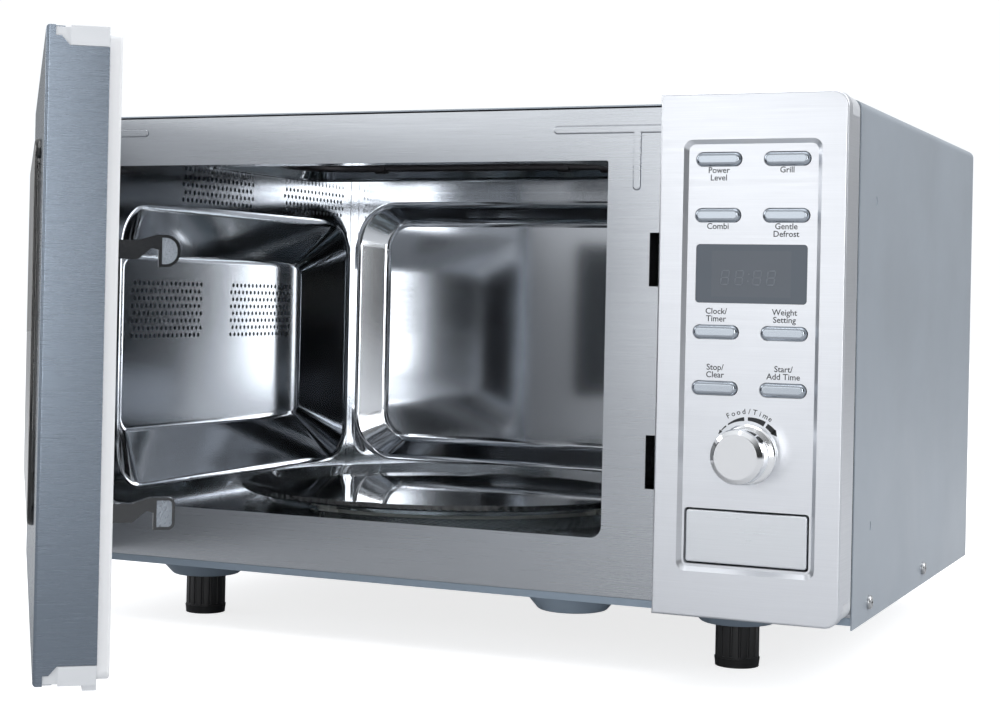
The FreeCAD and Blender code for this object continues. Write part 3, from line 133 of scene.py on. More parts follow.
def makeSmudgeGroup():
    group, start, end = newGroup(
        "handlingMarks",
        (("Vector", "NodeSocketVector", None), ("Size", "NodeSocketFloat", 9.0)),
        (("Shade", "NodeSocketFloat"), ("Rough", "NodeSocketFloat")))
    cloud = addNode(group, "ShaderNodeTexNoise", (-300, 100))
    cloud.inputs["Detail"].default_value = 4.0
    cloud.inputs["Distortion"].default_value = 0.4
    patch = addNode(group, "ShaderNodeTexVoronoi", (-300, -200), feature="SMOOTH_F1")
    patch.inputs["Smoothness"].default_value = 1.0
    for node in (cloud, patch):
        group.links.new(start.outputs["Vector"], node.inputs["Vector"])
        group.links.new(start.outputs["Size"], node.inputs["Scale"])
    group.links.new(rangeNode(group, cloud.outputs["Fac"], 0.3, 0.7, 0.0, 1.0, (0, 100)), end.inputs["Shade"])
    group.links.new(mathNode(group, "MULTIPLY", (0, -200), patch.outputs["Distance"], cloud.outputs["Fac"]),
                    end.inputs["Rough"])
    return group


def makeSkinGroup():
    group, start, end = newGroup(
        "paintAndMouldSkin",
        (("Vector", "NodeSocketVector", None), ("Grain", "NodeSocketFloat", 900.0),
         ("Specks", "NodeSocketFloat", 1500.0)),
        (("Shade", "NodeSocketFloat"), ("Height", "NodeSocketFloat"), ("Speck", "NodeSocketFloat")))
    grain = addNode(group, "ShaderNodeTexNoise", (-300, 150))
    grain.inputs["Detail"].default_value = 2.0
    specks = addNode(group, "ShaderNodeTexVoronoi", (-300, -150))
    cloud = addNode(group, "ShaderNodeTexNoise", (-300, -400))
    cloud.inputs["Scale"].default_value = 14.0
    cloud.inputs["Detail"].default_value = 3.0
    for node in (grain, specks, cloud):
        group.links.new(start.outputs["Vector"], node.inputs["Vector"])
    group.links.new(start.outputs["Grain"], grain.inputs["Scale"])
    group.links.new(start.outputs["Specks"], specks.inputs["Scale"])
    group.links.new(cloud.outputs["Fac"], end.inputs["Shade"])
    group.links.new(grain.outputs["Fac"], end.inputs["Height"])
    group.links.new(rangeNode(group, specks.outputs["Distance"], 0.05, 0.3, 1.0, 0.0, (0, -150)),
                    end.inputs["Speck"])
    return group


brushGroup = makeBrushGroup()
smudgeGroup = makeSmudgeGroup()
skinGroup = makeSkinGroup()


def placeGroup(tree, group, place, **values):
    node = addNode(tree, "ShaderNodeGroup", place)
    node.node_tree = group
    for name, value in values.items():
        node.inputs[name.capitalize()].default_value = value
    return node


def startMaterial(name, color, metallic, roughness):
    material = bpy.data.materials.new(name)
    material.use_nodes = True
    tree = material.node_tree
    shader = tree.nodes["Principled BSDF"]
    shader.inputs["Base Color"].default_value = (*color, 1.0)
    shader.inputs["Metallic"].default_value = metallic
    shader.inputs["Roughness"].default_value = roughness
    place = addNode(tree, "ShaderNodeTexCoord", (-1300, 0)).outputs["Object"]
    return material, tree, shader, place


def addBump(tree, shader, height, strength, distance):
    bump = addNode(tree, "ShaderNodeBump", (-250, -350))
    bump.inputs["Strength"].default_value = strength
    bump.inputs["Distance"].default_value = distance
    tree.links.new(height, bump.inputs["Height"])
    tree.links.new(bump.outputs["Normal"], shader.inputs["Normal"])
    return bump


def brushedSteel(name, look):
    material, tree, shader, place = startMaterial(name, look["color"], 1.0, look["rough"])
    lines = placeGroup(tree, brushGroup, (-1000, 150), stretch=look["stretch"],
                       contrast=look.get("contrast", 1.0))
    marks = placeGroup(tree, smudgeGroup, (-1000, -150), size=look.get("smudge", 9.0))
    tree.links.new(place, lines.inputs["Vector"])
    tree.links.new(place, marks.inputs["Vector"])
    dark = [c * look.get("low", 0.86) for c in look["color"]]
    light = [min(1.0, c * look.get("high", 1.1)) for c in look["color"]]
    tone = mixColors(tree, lines.outputs["Shade"], dark, light, (-700, 150))
    shaded = mixColors(tree, rangeNode(tree, marks.outputs["Shade"], 0, 1, 0.0, 0.35, (-700, -50)), tone,
                       [c * 0.93 for c in look["color"]], (-500, 100))
    tree.links.new(shaded, shader.inputs["Base Color"])
    swing = look.get("swing", 0.10)
    rough = rangeNode(tree, lines.outputs["Rough"], 0.2, 0.8, look["rough"] - swing, look["rough"] + swing,
                      (-700, -250))
    rough = mathNode(tree, "MULTIPLY_ADD", (-500, -250), marks.outputs["Rough"], look.get("haze", 0.08), rough)
    tree.links.new(rough, shader.inputs["Roughness"])
    addBump(tree, shader, lines.outputs["Height"], look.get("bump", 0.25), look.get("depth", 0.00008))
    return material


def coatedSurface(name, look):
    material, tree, shader, place = startMaterial(name, look["color"], look.get("metallic", 0.0), look["rough"])
    skin = placeGroup(tree, skinGroup, (-1000, 150), grain=look.get("grain", 900.0),
                      specks=look.get("specks", 1600.0))
    marks = placeGroup(tree, smudgeGroup, (-1000, -150), size=look.get("smudge", 11.0))
    tree.links.new(place, skin.inputs["Vector"])
    tree.links.new(place, marks.inputs["Vector"])
    dark = [c * look.get("low", 0.9) for c in look["color"]]
    light = [min(1.0, c * look.get("high", 1.06)) for c in look["color"]]
    tone = mixColors(tree, skin.outputs["Shade"], dark, light, (-700, 150))
    fleck = mathNode(tree, "MULTIPLY", (-700, 350), skin.outputs["Speck"], look.get("fleck", 0.12))
    tone = mixColors(tree, fleck, tone, look.get("fleckColor", light), (-500, 200))
    tree.links.new(tone, shader.inputs["Base Color"])
    rough = rangeNode(tree, marks.outputs["Shade"], 0, 1, look["rough"] - look.get("swing", 0.06),
                      look["rough"] + look.get("swing", 0.06), (-700, -250))
    tree.links.new(rough, shader.inputs["Roughness"])
    shader.inputs["Coat Weight"].default_value = look.get("coat", 0.0)
    shader.inputs["Coat Roughness"].default_value = 0.12
    addBump(tree, shader, skin.outputs["Height"], look.get("bump", 0.15), look.get("depth", 0.00012))
    return material


print("effects ready")


# finishes, one dictionary each

levelGrain = (28.0, 28.0, 2600.0)       # lines run level round every face
wideGrain = (60.0, 60.0, 2200.0)

frontPlateLook = {"color": (0.46, 0.48, 0.51), "rough": 0.24, "stretch": levelGrain, "contrast": 0.8,
                  "swing": 0.06, "bump": 0.18}
panelSteelLook = {"color": (0.74, 0.76, 0.80), "rough": 0.33, "stretch": levelGrain, "contrast": 0.8,
                  "low": 0.92, "high": 1.06, "bump": 0.15}
releaseSteelLook = {"color": (0.73, 0.755, 0.79), "rough": 0.31, "stretch": levelGrain, "contrast": 0.8,
                    "low": 0.92, "high": 1.06, "bump": 0.15}
# door skin steel: the same brushed stainless as the front plate, but its colour is painted much darker; this
# painted shade stands in for the dark reflections on the open door's edge
paintedShadeDoorSteelLook = {"color": (0.17, 0.20, 0.24), "rough": 0.24, "stretch": wideGrain, "contrast": 1.0, "low": 0.86,
                 "high": 1.12, "bump": 0.3, "smudge": 26.0}
cavitySteelLook = {"color": (0.66, 0.685, 0.72), "rough": 0.09, "stretch": (700.0, 700.0, 700.0),
                   "contrast": 0.3, "low": 0.96, "high": 1.03, "swing": 0.015, "bump": 0.008, "haze": 0.03}
plainSteelLook = {"color": (0.52, 0.53, 0.54), "rough": 0.28, "stretch": (300.0, 300.0, 300.0), "contrast": 0.7}
chromeLook = {"color": (0.90, 0.91, 0.93), "rough": 0.09, "stretch": (200.0, 200.0, 200.0), "contrast": 0.3,
              "low": 0.96, "high": 1.02, "swing": 0.02, "bump": 0.02, "haze": 0.03}
buttonChromeLook = {"color": (0.42, 0.46, 0.51), "rough": 0.20, "stretch": (60.0, 400.0, 400.0),
                    "contrast": 0.3, "low": 0.95, "high": 1.03, "swing": 0.02, "bump": 0.03, "haze": 0.04}
heaterLook = {"color": (0.10, 0.095, 0.10), "rough": 0.42, "stretch": (90.0, 200.0, 200.0), "contrast": 1.6}
zincLook = {"color": (0.55, 0.57, 0.58), "rough": 0.42, "stretch": (60.0, 60.0, 60.0), "contrast": 1.6,
            "low": 0.78, "smudge": 30.0, "bump": 0.05}
wrapperLook = {"color": (0.36, 0.405, 0.46), "rough": 0.40, "metallic": 0.35, "grain": 1400.0, "specks": 1900.0,
               "fleck": 0.25, "fleckColor": (0.48, 0.52, 0.57), "bump": 0.10, "coat": 0.12}
basePaintLook = {"color": (0.30, 0.37, 0.45), "rough": 0.38, "metallic": 0.15, "grain": 1300.0, "bump": 0.10}
blackPlasticLook = {"color": (0.012, 0.013, 0.015), "rough": 0.24, "grain": 1500.0, "bump": 0.10, "swing": 0.06,
                    "coat": 0.3}
rubberLook = {"color": (0.014, 0.014, 0.015), "rough": 0.40, "grain": 1100.0, "bump": 0.2, "swing": 0.10}
framePlasticLook = {"color": (0.60, 0.62, 0.65), "rough": 0.40, "grain": 1500.0, "bump": 0.12}
doorMouldLook = {"color": (0.70, 0.72, 0.75), "rough": 0.34, "grain": 1500.0, "bump": 0.10, "metallic": 0.1}
coverPlasticLook = {"color": (0.84, 0.85, 0.87), "rough": 0.34, "grain": 1500.0, "bump": 0.08}
hookLook = {"color": (0.016, 0.018, 0.021), "rough": 0.16, "grain": 700.0, "bump": 0.30, "swing": 0.05,
            "coat": 0.5}
chokeLook = {"color": (0.05, 0.05, 0.052), "rough": 0.45, "grain": 900.0, "bump": 0.15}
micaLook = {"color": (0.58, 0.52, 0.42), "rough": 0.35, "grain": 500.0, "specks": 700.0, "fleck": 0.5,
            "fleckColor": (0.80, 0.76, 0.66), "bump": 0.2}
whitePlasticLook = {"color": (0.70, 0.69, 0.65), "rough": 0.45, "grain": 1200.0, "bump": 0.1}
ironLook = {"color": (0.13, 0.12, 0.12), "rough": 0.55, "metallic": 0.6, "grain": 600.0, "bump": 0.3,
            "swing": 0.12}
boardLook = {"color": (0.05, 0.17, 0.08), "rough": 0.40, "grain": 700.0, "specks": 320.0, "fleck": 0.8,
             "fleckColor": (0.45, 0.44, 0.36), "bump": 0.2, "coat": 0.3}
bakeliteLook = {"color": (0.05, 0.04, 0.035), "rough": 0.4, "grain": 900.0, "bump": 0.15}
capacitorLook = {"color": (0.55, 0.56, 0.58), "rough": 0.3, "stretch": (400.0, 30.0, 400.0), "contrast": 0.8}

finishes = {
    "front_plate": brushedSteel("plateSteel", frontPlateLook),
    "control_fascia": brushedSteel("panelSteel", panelSteelLook),
    "release_button": brushedSteel("releaseSteel", releaseSteelLook),
    "door_skin": brushedSteel("paintedShadeDoorSteel", paintedShadeDoorSteelLook),
    "outer_wrapper": coatedSurface("wrapperPaint", wrapperLook),
    "base_plate": coatedSurface("basePaint", basePaintLook),
    "rear_panel": brushedSteel("galvanisedSheet", zincLook),
    "grill_heater": brushedSteel("heaterSheath", heaterLook),
    "knob": brushedSteel("knobChrome", chromeLook),
    "feet": coatedSurface("footRubber", rubberLook),
    "control_frame": coatedSurface("housingPlastic", framePlasticLook),
    "door_frame": coatedSurface("doorMoulding", doorMouldLook),
    "door_inner_cover": coatedSurface("doorInnerPlastic", coverPlasticLook),
    "door_choke_panel": coatedSurface("chokeEnamel", chokeLook),
    "waveguide_cover": coatedSurface("micaSheet", micaLook),
    "high_voltage_transformer": coatedSurface("transformerIron", ironLook),
    "thermostats": coatedSurface("bakelite", bakeliteLook),
    "capacitor": brushedSteel("capacitorCan", capacitorLook),
}
cavitySteel = brushedSteel("cavitySteel", cavitySteelLook)
for name in ("cavity_left_wall", "cavity_right_wall", "cavity_rear_wall", "cavity_floor"):
    finishes[name] = cavitySteel

punching = {"pitch": 5.4 * mm, "hole": 1.75 * mm, "fade": 0.15 * mm, "rim": 0.5 * mm,
            "X": (-196 * mm, 90 * mm), "Y": (36 * mm, 140 * mm)}


def punchedSteel(name, look):
    material = brushedSteel(name, look)
    tree = material.node_tree
    shader = tree.nodes["Principled BSDF"]
    axes = addNode(tree, "ShaderNodeSeparateXYZ", (-1100, 600))
    tree.links.new(addNode(tree, "ShaderNodeTexCoord", (-1300, 600)).outputs["Object"], axes.inputs["Vector"])
    offsets = []
    for axis in ("X", "Y"):
        cell = mathNode(tree, "WRAP", (-900, 600), axes.outputs[axis], punching["pitch"] / 2,
                        -punching["pitch"] / 2)
        offsets.append(mathNode(tree, "MULTIPLY", (-750, 600), cell, cell))
    away = mathNode(tree, "SQRT", (-600, 600), mathNode(tree, "ADD", (-680, 600), *offsets))
    inside = []
    for axis in ("X", "Y"):
        start, end = punching[axis]
        inside.append(mathNode(tree, "COMPARE", (-600, 800), axes.outputs[axis], (start + end) / 2,
                               (end - start) / 2))
    field = mathNode(tree, "MULTIPLY", (-450, 850), *inside)
    hole = mathNode(tree, "MULTIPLY", (-300, 700), field,
                    rangeNode(tree, away, punching["hole"] - punching["fade"], punching["hole"], 1.0, 0.0,
                              (-450, 600)))
    steel = shader.inputs["Base Color"].links[0].from_socket
    tree.links.new(mixColors(tree, hole, steel, (0.004, 0.004, 0.005), (-150, 500)),
                   shader.inputs["Base Color"])
    rim = rangeNode(tree, away, punching["hole"], punching["hole"] + punching["rim"], 0.0, 1.0, (-450, 450))
    bump = addNode(tree, "ShaderNodeBump", (-120, -500))
    bump.inputs["Strength"].default_value = 0.8
    bump.inputs["Distance"].default_value = punching["rim"]
    dimple = mathNode(tree, "MULTIPLY", (-300, 450), field,
                      mathNode(tree, "SUBTRACT", (-380, 450), rim, 1.0))
    tree.links.new(dimple, bump.inputs["Height"])
    tree.links.new(shader.inputs["Normal"].links[0].from_socket, bump.inputs["Normal"])
    tree.links.new(bump.outputs["Normal"], shader.inputs["Normal"])
    return material


finishes["cavity_ceiling"] = punchedSteel("ceilingSteel", cavitySteelLook)
blackPlastic = coatedSurface("blackPlastic", blackPlasticLook)
finishes["latch_hooks"] = coatedSurface("hookPlastic", hookLook)
for name in ("latch_housing", "interlock_switches", "release_lever", "cord_gland", "fan_blade"):
    finishes[name] = blackPlastic
plainSteel = brushedSteel("plainSteel", plainSteelLook)
for name in ("turntable_shaft", "encoder_shaft", "cover_screws", "hinge_brackets", "latch_spring", "fan_motor",
             "turntable_motor", "magnetron"):
    finishes[name] = plainSteel
finishes["waveguide"] = finishes["rear_panel"]
boardFinish = coatedSurface("circuitBoard", boardLook)
finishes["control_board"] = boardFinish
finishes["filter_board"] = boardFinish
whitePlastic = coatedSurface("whitePlastic", whitePlasticLook)
for name in ("turntable_coupler", "roller_ring", "roller_1", "roller_2", "roller_3", "fan_duct"):
    finishes[name] = whitePlastic
buttonChrome = brushedSteel("buttonChrome", buttonChromeLook)
buttonNames = ["push_button_%d" % number for number in range(1, 9)]
for name in buttonNames:
    finishes[name] = buttonChrome


def glassSurface(name, look):
    material, tree, shader, place = startMaterial(name, look["color"], 0.0, look["rough"])
    shader.inputs["Transmission Weight"].default_value = 1.0
    shader.inputs["IOR"].default_value = 1.5
    marks = placeGroup(tree, smudgeGroup, (-900, 0), size=20.0)
    tree.links.new(place, marks.inputs["Vector"])
    rough = rangeNode(tree, marks.outputs["Shade"], 0, 1, look["rough"], look["rough"] + 0.05, (-600, 0))
    tree.links.new(rough, shader.inputs["Roughness"])
    tree.links.new(mixColors(tree, marks.outputs["Shade"], look["color"], [c * 0.95 for c in look["color"]],
                             (-600, 250)), shader.inputs["Base Color"])
    return material, tree, shader, place


turntableLook = {"color": (0.62, 0.68, 0.70), "rough": 0.02, "ribs": 150, "rings": 1100.0,
                 "rimStart": 112 * mm, "rimFade": 2 * mm}


def turntableGlass():
    material, tree, shader, place = glassSurface("turntableGlass", turntableLook)
    low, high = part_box("glass_turntable")
    centre = (low + high) / 2
    moved = addNode(tree, "ShaderNodeMapping", (-1100, -400))
    moved.inputs["Location"].default_value = (-centre.x, -centre.y, -centre.z)
    tree.links.new(place, moved.inputs["Vector"])
    axes = addNode(tree, "ShaderNodeSeparateXYZ", (-900, -400))
    tree.links.new(moved.outputs["Vector"], axes.inputs["Vector"])
    turn = mathNode(tree, "ARCTAN2", (-750, -400), axes.outputs["Y"], axes.outputs["X"])
    flat = addNode(tree, "ShaderNodeCombineXYZ", (-750, -600))
    tree.links.new(axes.outputs["X"], flat.inputs["X"])
    tree.links.new(axes.outputs["Y"], flat.inputs["Y"])
    radius = addNode(tree, "ShaderNodeVectorMath", (-600, -600), operation="LENGTH")
    tree.links.new(flat.outputs["Vector"], radius.inputs[0])
    ribs = mathNode(tree, "SINE", (-450, -400),
                    mathNode(tree, "MULTIPLY", (-600, -400), turn, turntableLook["ribs"]))
    rings = mathNode(tree, "SINE", (-450, -550),
                     mathNode(tree, "MULTIPLY", (-600, -550), radius.outputs["Value"], turntableLook["rings"]))
    pattern = mathNode(tree, "MULTIPLY", (-300, -450), ribs, rings)
    rimStart = turntableLook["rimStart"]
    mask = rangeNode(tree, radius.outputs["Value"], rimStart, rimStart + turntableLook["rimFade"], 0.0, 1.0,
                     (-450, -700))
    addBump(tree, shader, mathNode(tree, "MULTIPLY", (-150, -500), pattern, mask), 0.7, 0.0007)
    shader.inputs["Coat Weight"].default_value = 1.0
    shader.inputs["Coat Roughness"].default_value = 0.03
    return material


finishes["glass_turntable"] = turntableGlass()
doorGlassLook = {"color": (0.10, 0.11, 0.12), "rough": 0.02}
innerGlassLook = {"color": (0.55, 0.58, 0.60), "rough": 0.02}
lampGlassLook = {"color": (0.85, 0.84, 0.80), "rough": 0.15}
finishes["door_window"] = glassSurface("doorGlass", doorGlassLook)[0]
finishes["door_inner_window"] = glassSurface("innerGlass", innerGlassLook)[0]
finishes["cavity_lamp"] = glassSurface("lampGlass", lampGlassLook)[0]


screenLook = {"color": (0.035, 0.036, 0.038), "rough": 0.4, "pitch": 2.2 * mm, "hole": 0.33}


def screenMetal():
    material, tree, shader, place = startMaterial("screenMetal", screenLook["color"], 0.3, screenLook["rough"])
    low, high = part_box("door_screen")
    swing = math.atan2(high.y - low.y, high.x - low.x)
    turned = addNode(tree, "ShaderNodeMapping", (-1100, 0), vector_type="TEXTURE")
    turned.inputs["Rotation"].default_value = (0.0, 0.0, -swing)
    tree.links.new(place, turned.inputs["Vector"])
    axes = addNode(tree, "ShaderNodeSeparateXYZ", (-900, 0))
    tree.links.new(turned.outputs["Vector"], axes.inputs["Vector"])
    rate = 2 * math.pi / screenLook["pitch"]
    waves = []
    for axis in ("X", "Z"):
        turns = mathNode(tree, "MULTIPLY", (-750, 0), axes.outputs[axis], rate)
        waves.append(mathNode(tree, "COSINE", (-600, 0), turns))
    dots = mathNode(tree, "ADD", (-450, 0), *waves)
    solid = rangeNode(tree, dots, screenLook["hole"], screenLook["hole"] + 0.3, 1.0, 0.0, (-300, 0))
    tree.links.new(solid, shader.inputs["Alpha"])
    addBump(tree, shader, solid, 0.4, 0.0003)
    return material


finishes["door_screen"] = screenMetal()

displayLook = {"color": (0.060, 0.080, 0.108), "panel": (0.072, 0.090, 0.116), "rough": 0.16,
               "halfWide": 21.5 * mm, "halfHigh": 12.0 * mm, "fade": 0.5 * mm}


def displaySmoke():
    material, tree, shader, place = startMaterial("displaySmoke", displayLook["color"], 0.0,
                                                  displayLook["rough"])
    low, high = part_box("display_window")
    centre = (low + high) / 2
    axes = addNode(tree, "ShaderNodeSeparateXYZ", (-1100, 0))
    tree.links.new(place, axes.inputs["Vector"])
    fields = []
    sides = (("X", centre.x, displayLook["halfWide"]), ("Z", centre.z, displayLook["halfHigh"]))
    for axis, middle, half in sides:
        offset = mathNode(tree, "SUBTRACT", (-950, 0), axes.outputs[axis], middle)
        distance = mathNode(tree, "ABSOLUTE", (-800, 0), offset)
        fields.append(rangeNode(tree, distance, half, half + displayLook["fade"], 1.0, 0.0, (-650, 0)))
    inside = mathNode(tree, "MULTIPLY", (-500, 0), *fields)
    tree.links.new(mixColors(tree, inside, displayLook["color"], displayLook["panel"], (-300, 100)),
                   shader.inputs["Base Color"])
    marks = placeGroup(tree, smudgeGroup, (-900, -350), size=40.0)
    tree.links.new(place, marks.inputs["Vector"])
    tree.links.new(rangeNode(tree, marks.outputs["Shade"], 0, 1, 0.10, 0.18, (-500, -350)),
                   shader.inputs["Roughness"])
    shader.inputs["Coat Weight"].default_value = 0.2
    return material


finishes["display_window"] = displaySmoke()

for nodeName, cadNode in cadNodes.items():
    cadNode.data.materials.clear()
    cadNode.data.materials.append(finishes[nodeName])
print("materials on", len(finishes), "nodes")


# new pieces

def finishPiece(name, bm, material, body, smooth=True):
    mesh = bpy.data.meshes.new(name)
    bm.to_mesh(mesh)
    bm.free()
    for polygon in mesh.polygons:
        polygon.use_smooth = smooth
    piece = bpy.data.objects.new(name, mesh)
    scene.collection.objects.link(piece)
    mesh.materials.append(material)
    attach(piece, body)
    return piece


printLook = {"color": (0.018, 0.02, 0.024), "rough": 0.6, "grain": 2500.0, "bump": 0.05}
printInk = coatedSurface("printInk", printLook)
segmentLook = {"color": (0.155, 0.175, 0.205), "rough": 0.4, "grain": 2500.0, "bump": 0.05}
segmentInk = coatedSurface("segmentInk", segmentLook)

fieldLook = {"sunk": 2.0 * mm, "bury": 0.01 * mm}
windowLow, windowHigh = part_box("display_window")
windowMiddle = (windowLow + windowHigh) / 2
fasciaLow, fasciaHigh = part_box("control_fascia")
buttonBoxes = [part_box(name) for name in buttonNames]
buttonMiddles = [(low + high) / 2 for low, high in buttonBoxes]
fieldY = fasciaLow.y + fieldLook["sunk"]         # outer face of the steel around the controls

lettering = {
    "size": 4.5 * mm, "line": 4.0 * mm, "thick": 0.06 * mm, "bold": 0.045 * mm, "below": 7.3 * mm,
    "above": 9.7 * mm, "arcWords": "Food/Time", "arcSize": 3.9 * mm, "arcRadius": 21.6 * mm, "arcPitch": 7.6,
    "arcTurn": 2.0,
    "words": (("Power\nLevel", "Grill"), ("Combi", "Gentle\nDefrost"), ("Clock/\nTimer", "Weight\nSetting"),
              ("Stop/\nClear", "Start/\nAdd Time")),
}


def wordMesh(words, size, lineHeight):
    curve = bpy.data.curves.new("words", "FONT")
    curve.body = words
    curve.size = 1.0                          # full size first, because tiny letters fill in
    curve.align_x = "CENTER"
    curve.space_line = lineHeight / size
    curve.extrude = lettering["thick"] / 2 / size
    curve.offset = lettering["bold"] / size
    curve.resolution_u = 3
    holder = bpy.data.objects.new("words", curve)
    scene.collection.objects.link(holder)
    bpy.context.view_layer.update()
    mesh = bpy.data.meshes.new_from_object(holder.evaluated_get(bpy.context.evaluated_depsgraph_get()))
    bpy.data.objects.remove(holder)
    mesh.transform(Matrix.Scale(size, 4))
    return mesh


def addWords(bm, words, place, size, turn=0.0, lift=0.0):
    mesh = wordMesh(words, size, lettering["line"])
    upright = Matrix.Rotation(math.pi / 2, 4, "X")
    swung = Matrix.Translation(place) @ Matrix.Rotation(turn, 4, "Y")
    mesh.transform(swung @ Matrix.Translation((0, 0, lift)) @ upright)
    bm.from_mesh(mesh)
    bpy.data.meshes.remove(mesh)


bm = bmesh.new()
for row, pair in enumerate(lettering["words"]):
    for column, words in enumerate(pair):
        middle = buttonMiddles[2 * row + column]
        lines = words.count("\n")
        if row < 2:
            height = middle.z - lettering["below"]
        else:
            height = middle.z + lettering["above"] - (lettering["line"] if not lines else 0.0)
        addWords(bm, words, Vector((middle.x, fieldY - fieldLook["bury"], height)), lettering["size"])
knobLow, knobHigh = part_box("knob")
knobMiddle = (knobLow + knobHigh) / 2
arcWords = lettering["arcWords"]
for index, letter in enumerate(arcWords):
    angle = math.radians((index - (len(arcWords) - 1) / 2) * lettering["arcPitch"] + lettering["arcTurn"])
    addWords(bm, letter, Vector((knobMiddle.x, fieldY - fieldLook["bury"], knobMiddle.z)),
             lettering["arcSize"], angle, lettering["arcRadius"])
finishPiece("panelLettering", bm, printInk, "cabinet", smooth=False)
print("lettering made")


dialMarks = {"radius": 18.9 * mm, "thick": 0.05 * mm, "bury": 0.03 * mm,
             "arcs": ((-52, -39, 0.3, 0.8), (-35, -6, 0.7, 2.1), (0, 29, 1.9, 2.9), (33, 50, 2.5, 3.0)),
             "arrows": ((-53, 1.1 * mm, 1.7 * mm, -1), (50.5, 2.2 * mm, 2.2 * mm, 1)), "steps": 14}


def arcPlate(bm, fromDeg, toDeg, fromWidth, toWidth):
    radius = dialMarks["radius"]
    first = bm.verts.new((0, 0, radius - 0.5 * mm))
    second = bm.verts.new((0, 0, radius + 0.5 * mm))
    edge = bm.edges.new((first, second))
    bmesh.ops.rotate(bm, verts=[first, second], cent=(0, 0, 0),
                     matrix=Matrix.Rotation(math.radians(fromDeg), 3, "Y"))
    bmesh.ops.spin(bm, geom=[first, second, edge], cent=(0, 0, 0), axis=(0, 1, 0), steps=dialMarks["steps"],
                   angle=math.radians(toDeg - fromDeg), use_merge=False, use_duplicate=False)
    faces = [face for face in bm.faces if not face.tag]
    verts = {vert for face in faces for vert in face.verts}
    for vert in verts:                                    # taper from one end to the other
        angle = math.degrees(math.atan2(vert.co.x, vert.co.z))
        share = (angle - fromDeg) / (toDeg - fromDeg)
        width = (fromWidth + (toWidth - fromWidth) * share) * mm
        side = 1 if vert.co.length > radius else -1
        vert.co = vert.co.normalized() * (radius + side * width / 2)
    for face in faces:
        face.tag = True


def arrowHead(bm, atDeg, width, length, turnWay):
    made = bmesh.ops.create_circle(bm, cap_ends=True, segments=3, radius=1.0)
    for vert in made["verts"]:
        vert.co = Vector((turnWay * vert.co.y * length, 0.0, vert.co.x * width))
    bmesh.ops.translate(bm, verts=made["verts"], vec=(0, 0, dialMarks["radius"]))
    bmesh.ops.rotate(bm, verts=made["verts"], cent=(0, 0, 0),
                     matrix=Matrix.Rotation(math.radians(atDeg), 3, "Y"))
    for vert in made["verts"]:
        for face in vert.link_faces:
            face.tag = True


bm = bmesh.new()
for arc in dialMarks["arcs"]:
    arcPlate(bm, *arc)
for arrow in dialMarks["arrows"]:
    arrowHead(bm, *arrow)
bm.normal_update()
bmesh.ops.solidify(bm, geom=bm.faces[:], thickness=dialMarks["thick"])
bmesh.ops.translate(bm, verts=bm.verts, vec=(knobMiddle.x, fieldY - dialMarks["bury"], knobMiddle.z))
bmesh.ops.recalc_face_normals(bm, faces=bm.faces)
finishPiece("dialMarks", bm, printInk, "cabinet", smooth=False)


cornerSeam = {"onLeft": 4.5 * mm, "onRear": 5.0 * mm, "thick": 0.5 * mm, "edge": 0.2 * mm, "gap": 1.5 * mm}
leftLow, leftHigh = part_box("cavity_left_wall")


def seamStrip(bm, low, high):
    made = bmesh.ops.create_cube(bm, size=1.0)
    size = high - low
    bmesh.ops.scale(bm, vec=size, verts=made["verts"])
    bmesh.ops.translate(bm, verts=made["verts"], vec=(low + high) / 2)
    edges = list({edge for vert in made["verts"] for edge in vert.link_edges})
    bmesh.ops.bevel(bm, geom=edges, offset=cornerSeam["edge"], offset_type="OFFSET", segments=2, profile=0.5,
                    affect="EDGES", material=-1)


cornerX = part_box("cavity_floor")[0].x
cornerY = leftHigh.y
seamLow = leftLow.z + cornerSeam["gap"]
seamHigh = leftHigh.z - cornerSeam["gap"]
bm = bmesh.new()
seamStrip(bm, Vector((cornerX, cornerY - cornerSeam["thick"], seamLow)),
          Vector((cornerX + cornerSeam["onRear"], cornerY, seamHigh)))
seamStrip(bm, Vector((cornerX, cornerY - cornerSeam["onLeft"], seamLow)),
          Vector((cornerX + cornerSeam["thick"], cornerY - cornerSeam["thick"], seamHigh)))
finishPiece("cavityCornerSeam", bm, cavitySteel, "cabinet", smooth=False)
print("cavity seam made")


# hook pads: thin sheets on the recessed faces of the black hook heads. Their pale grey colour is a painted
# reflection of the bright studio on glossy black plastic, while their bump and flecks are the recess's real
# moulded texture
paintedReflectionHookPads = {"thick": 0.12 * mm, "step": 0.4 * mm, "head": 9.0 * mm, "facing": 0.98,
            "look": {"color": (0.26, 0.29, 0.33), "rough": 0.30, "grain": 1300.0, "specks": 900.0, "fleck": 0.8,
                     "fleckColor": (0.07, 0.08, 0.09), "bump": 0.9, "depth": 0.0003, "metallic": 0.5}}
screenLow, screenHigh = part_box("door_screen")
swing = math.atan2(screenHigh.y - screenLow.y, screenHigh.x - screenLow.x)
outward = Vector((math.cos(swing), -math.sin(swing), 0.0))       # along the door, away from its hinge
inward = Vector((math.sin(swing), math.cos(swing), 0.0))         # through the door, the way the hooks point
bm = bmesh.new()
bm.from_mesh(cadNodes["latch_hooks"].data)
bmesh.ops.remove_doubles(bm, verts=bm.verts, dist=0.01 * mm)
bm.normal_update()
reach = max(vert.co.dot(inward) for vert in bm.verts)
heads = [face for face in bm.faces if face.normal.dot(outward) > paintedReflectionHookPads["facing"]
         and face.calc_center_median().dot(inward) > reach - paintedReflectionHookPads["head"]]
rim = max(face.calc_center_median().dot(outward) for face in heads)
sunk = {face for face in heads if face.calc_center_median().dot(outward) < rim - paintedReflectionHookPads["step"]}
bmesh.ops.delete(bm, geom=[face for face in bm.faces if face not in sunk], context="FACES")
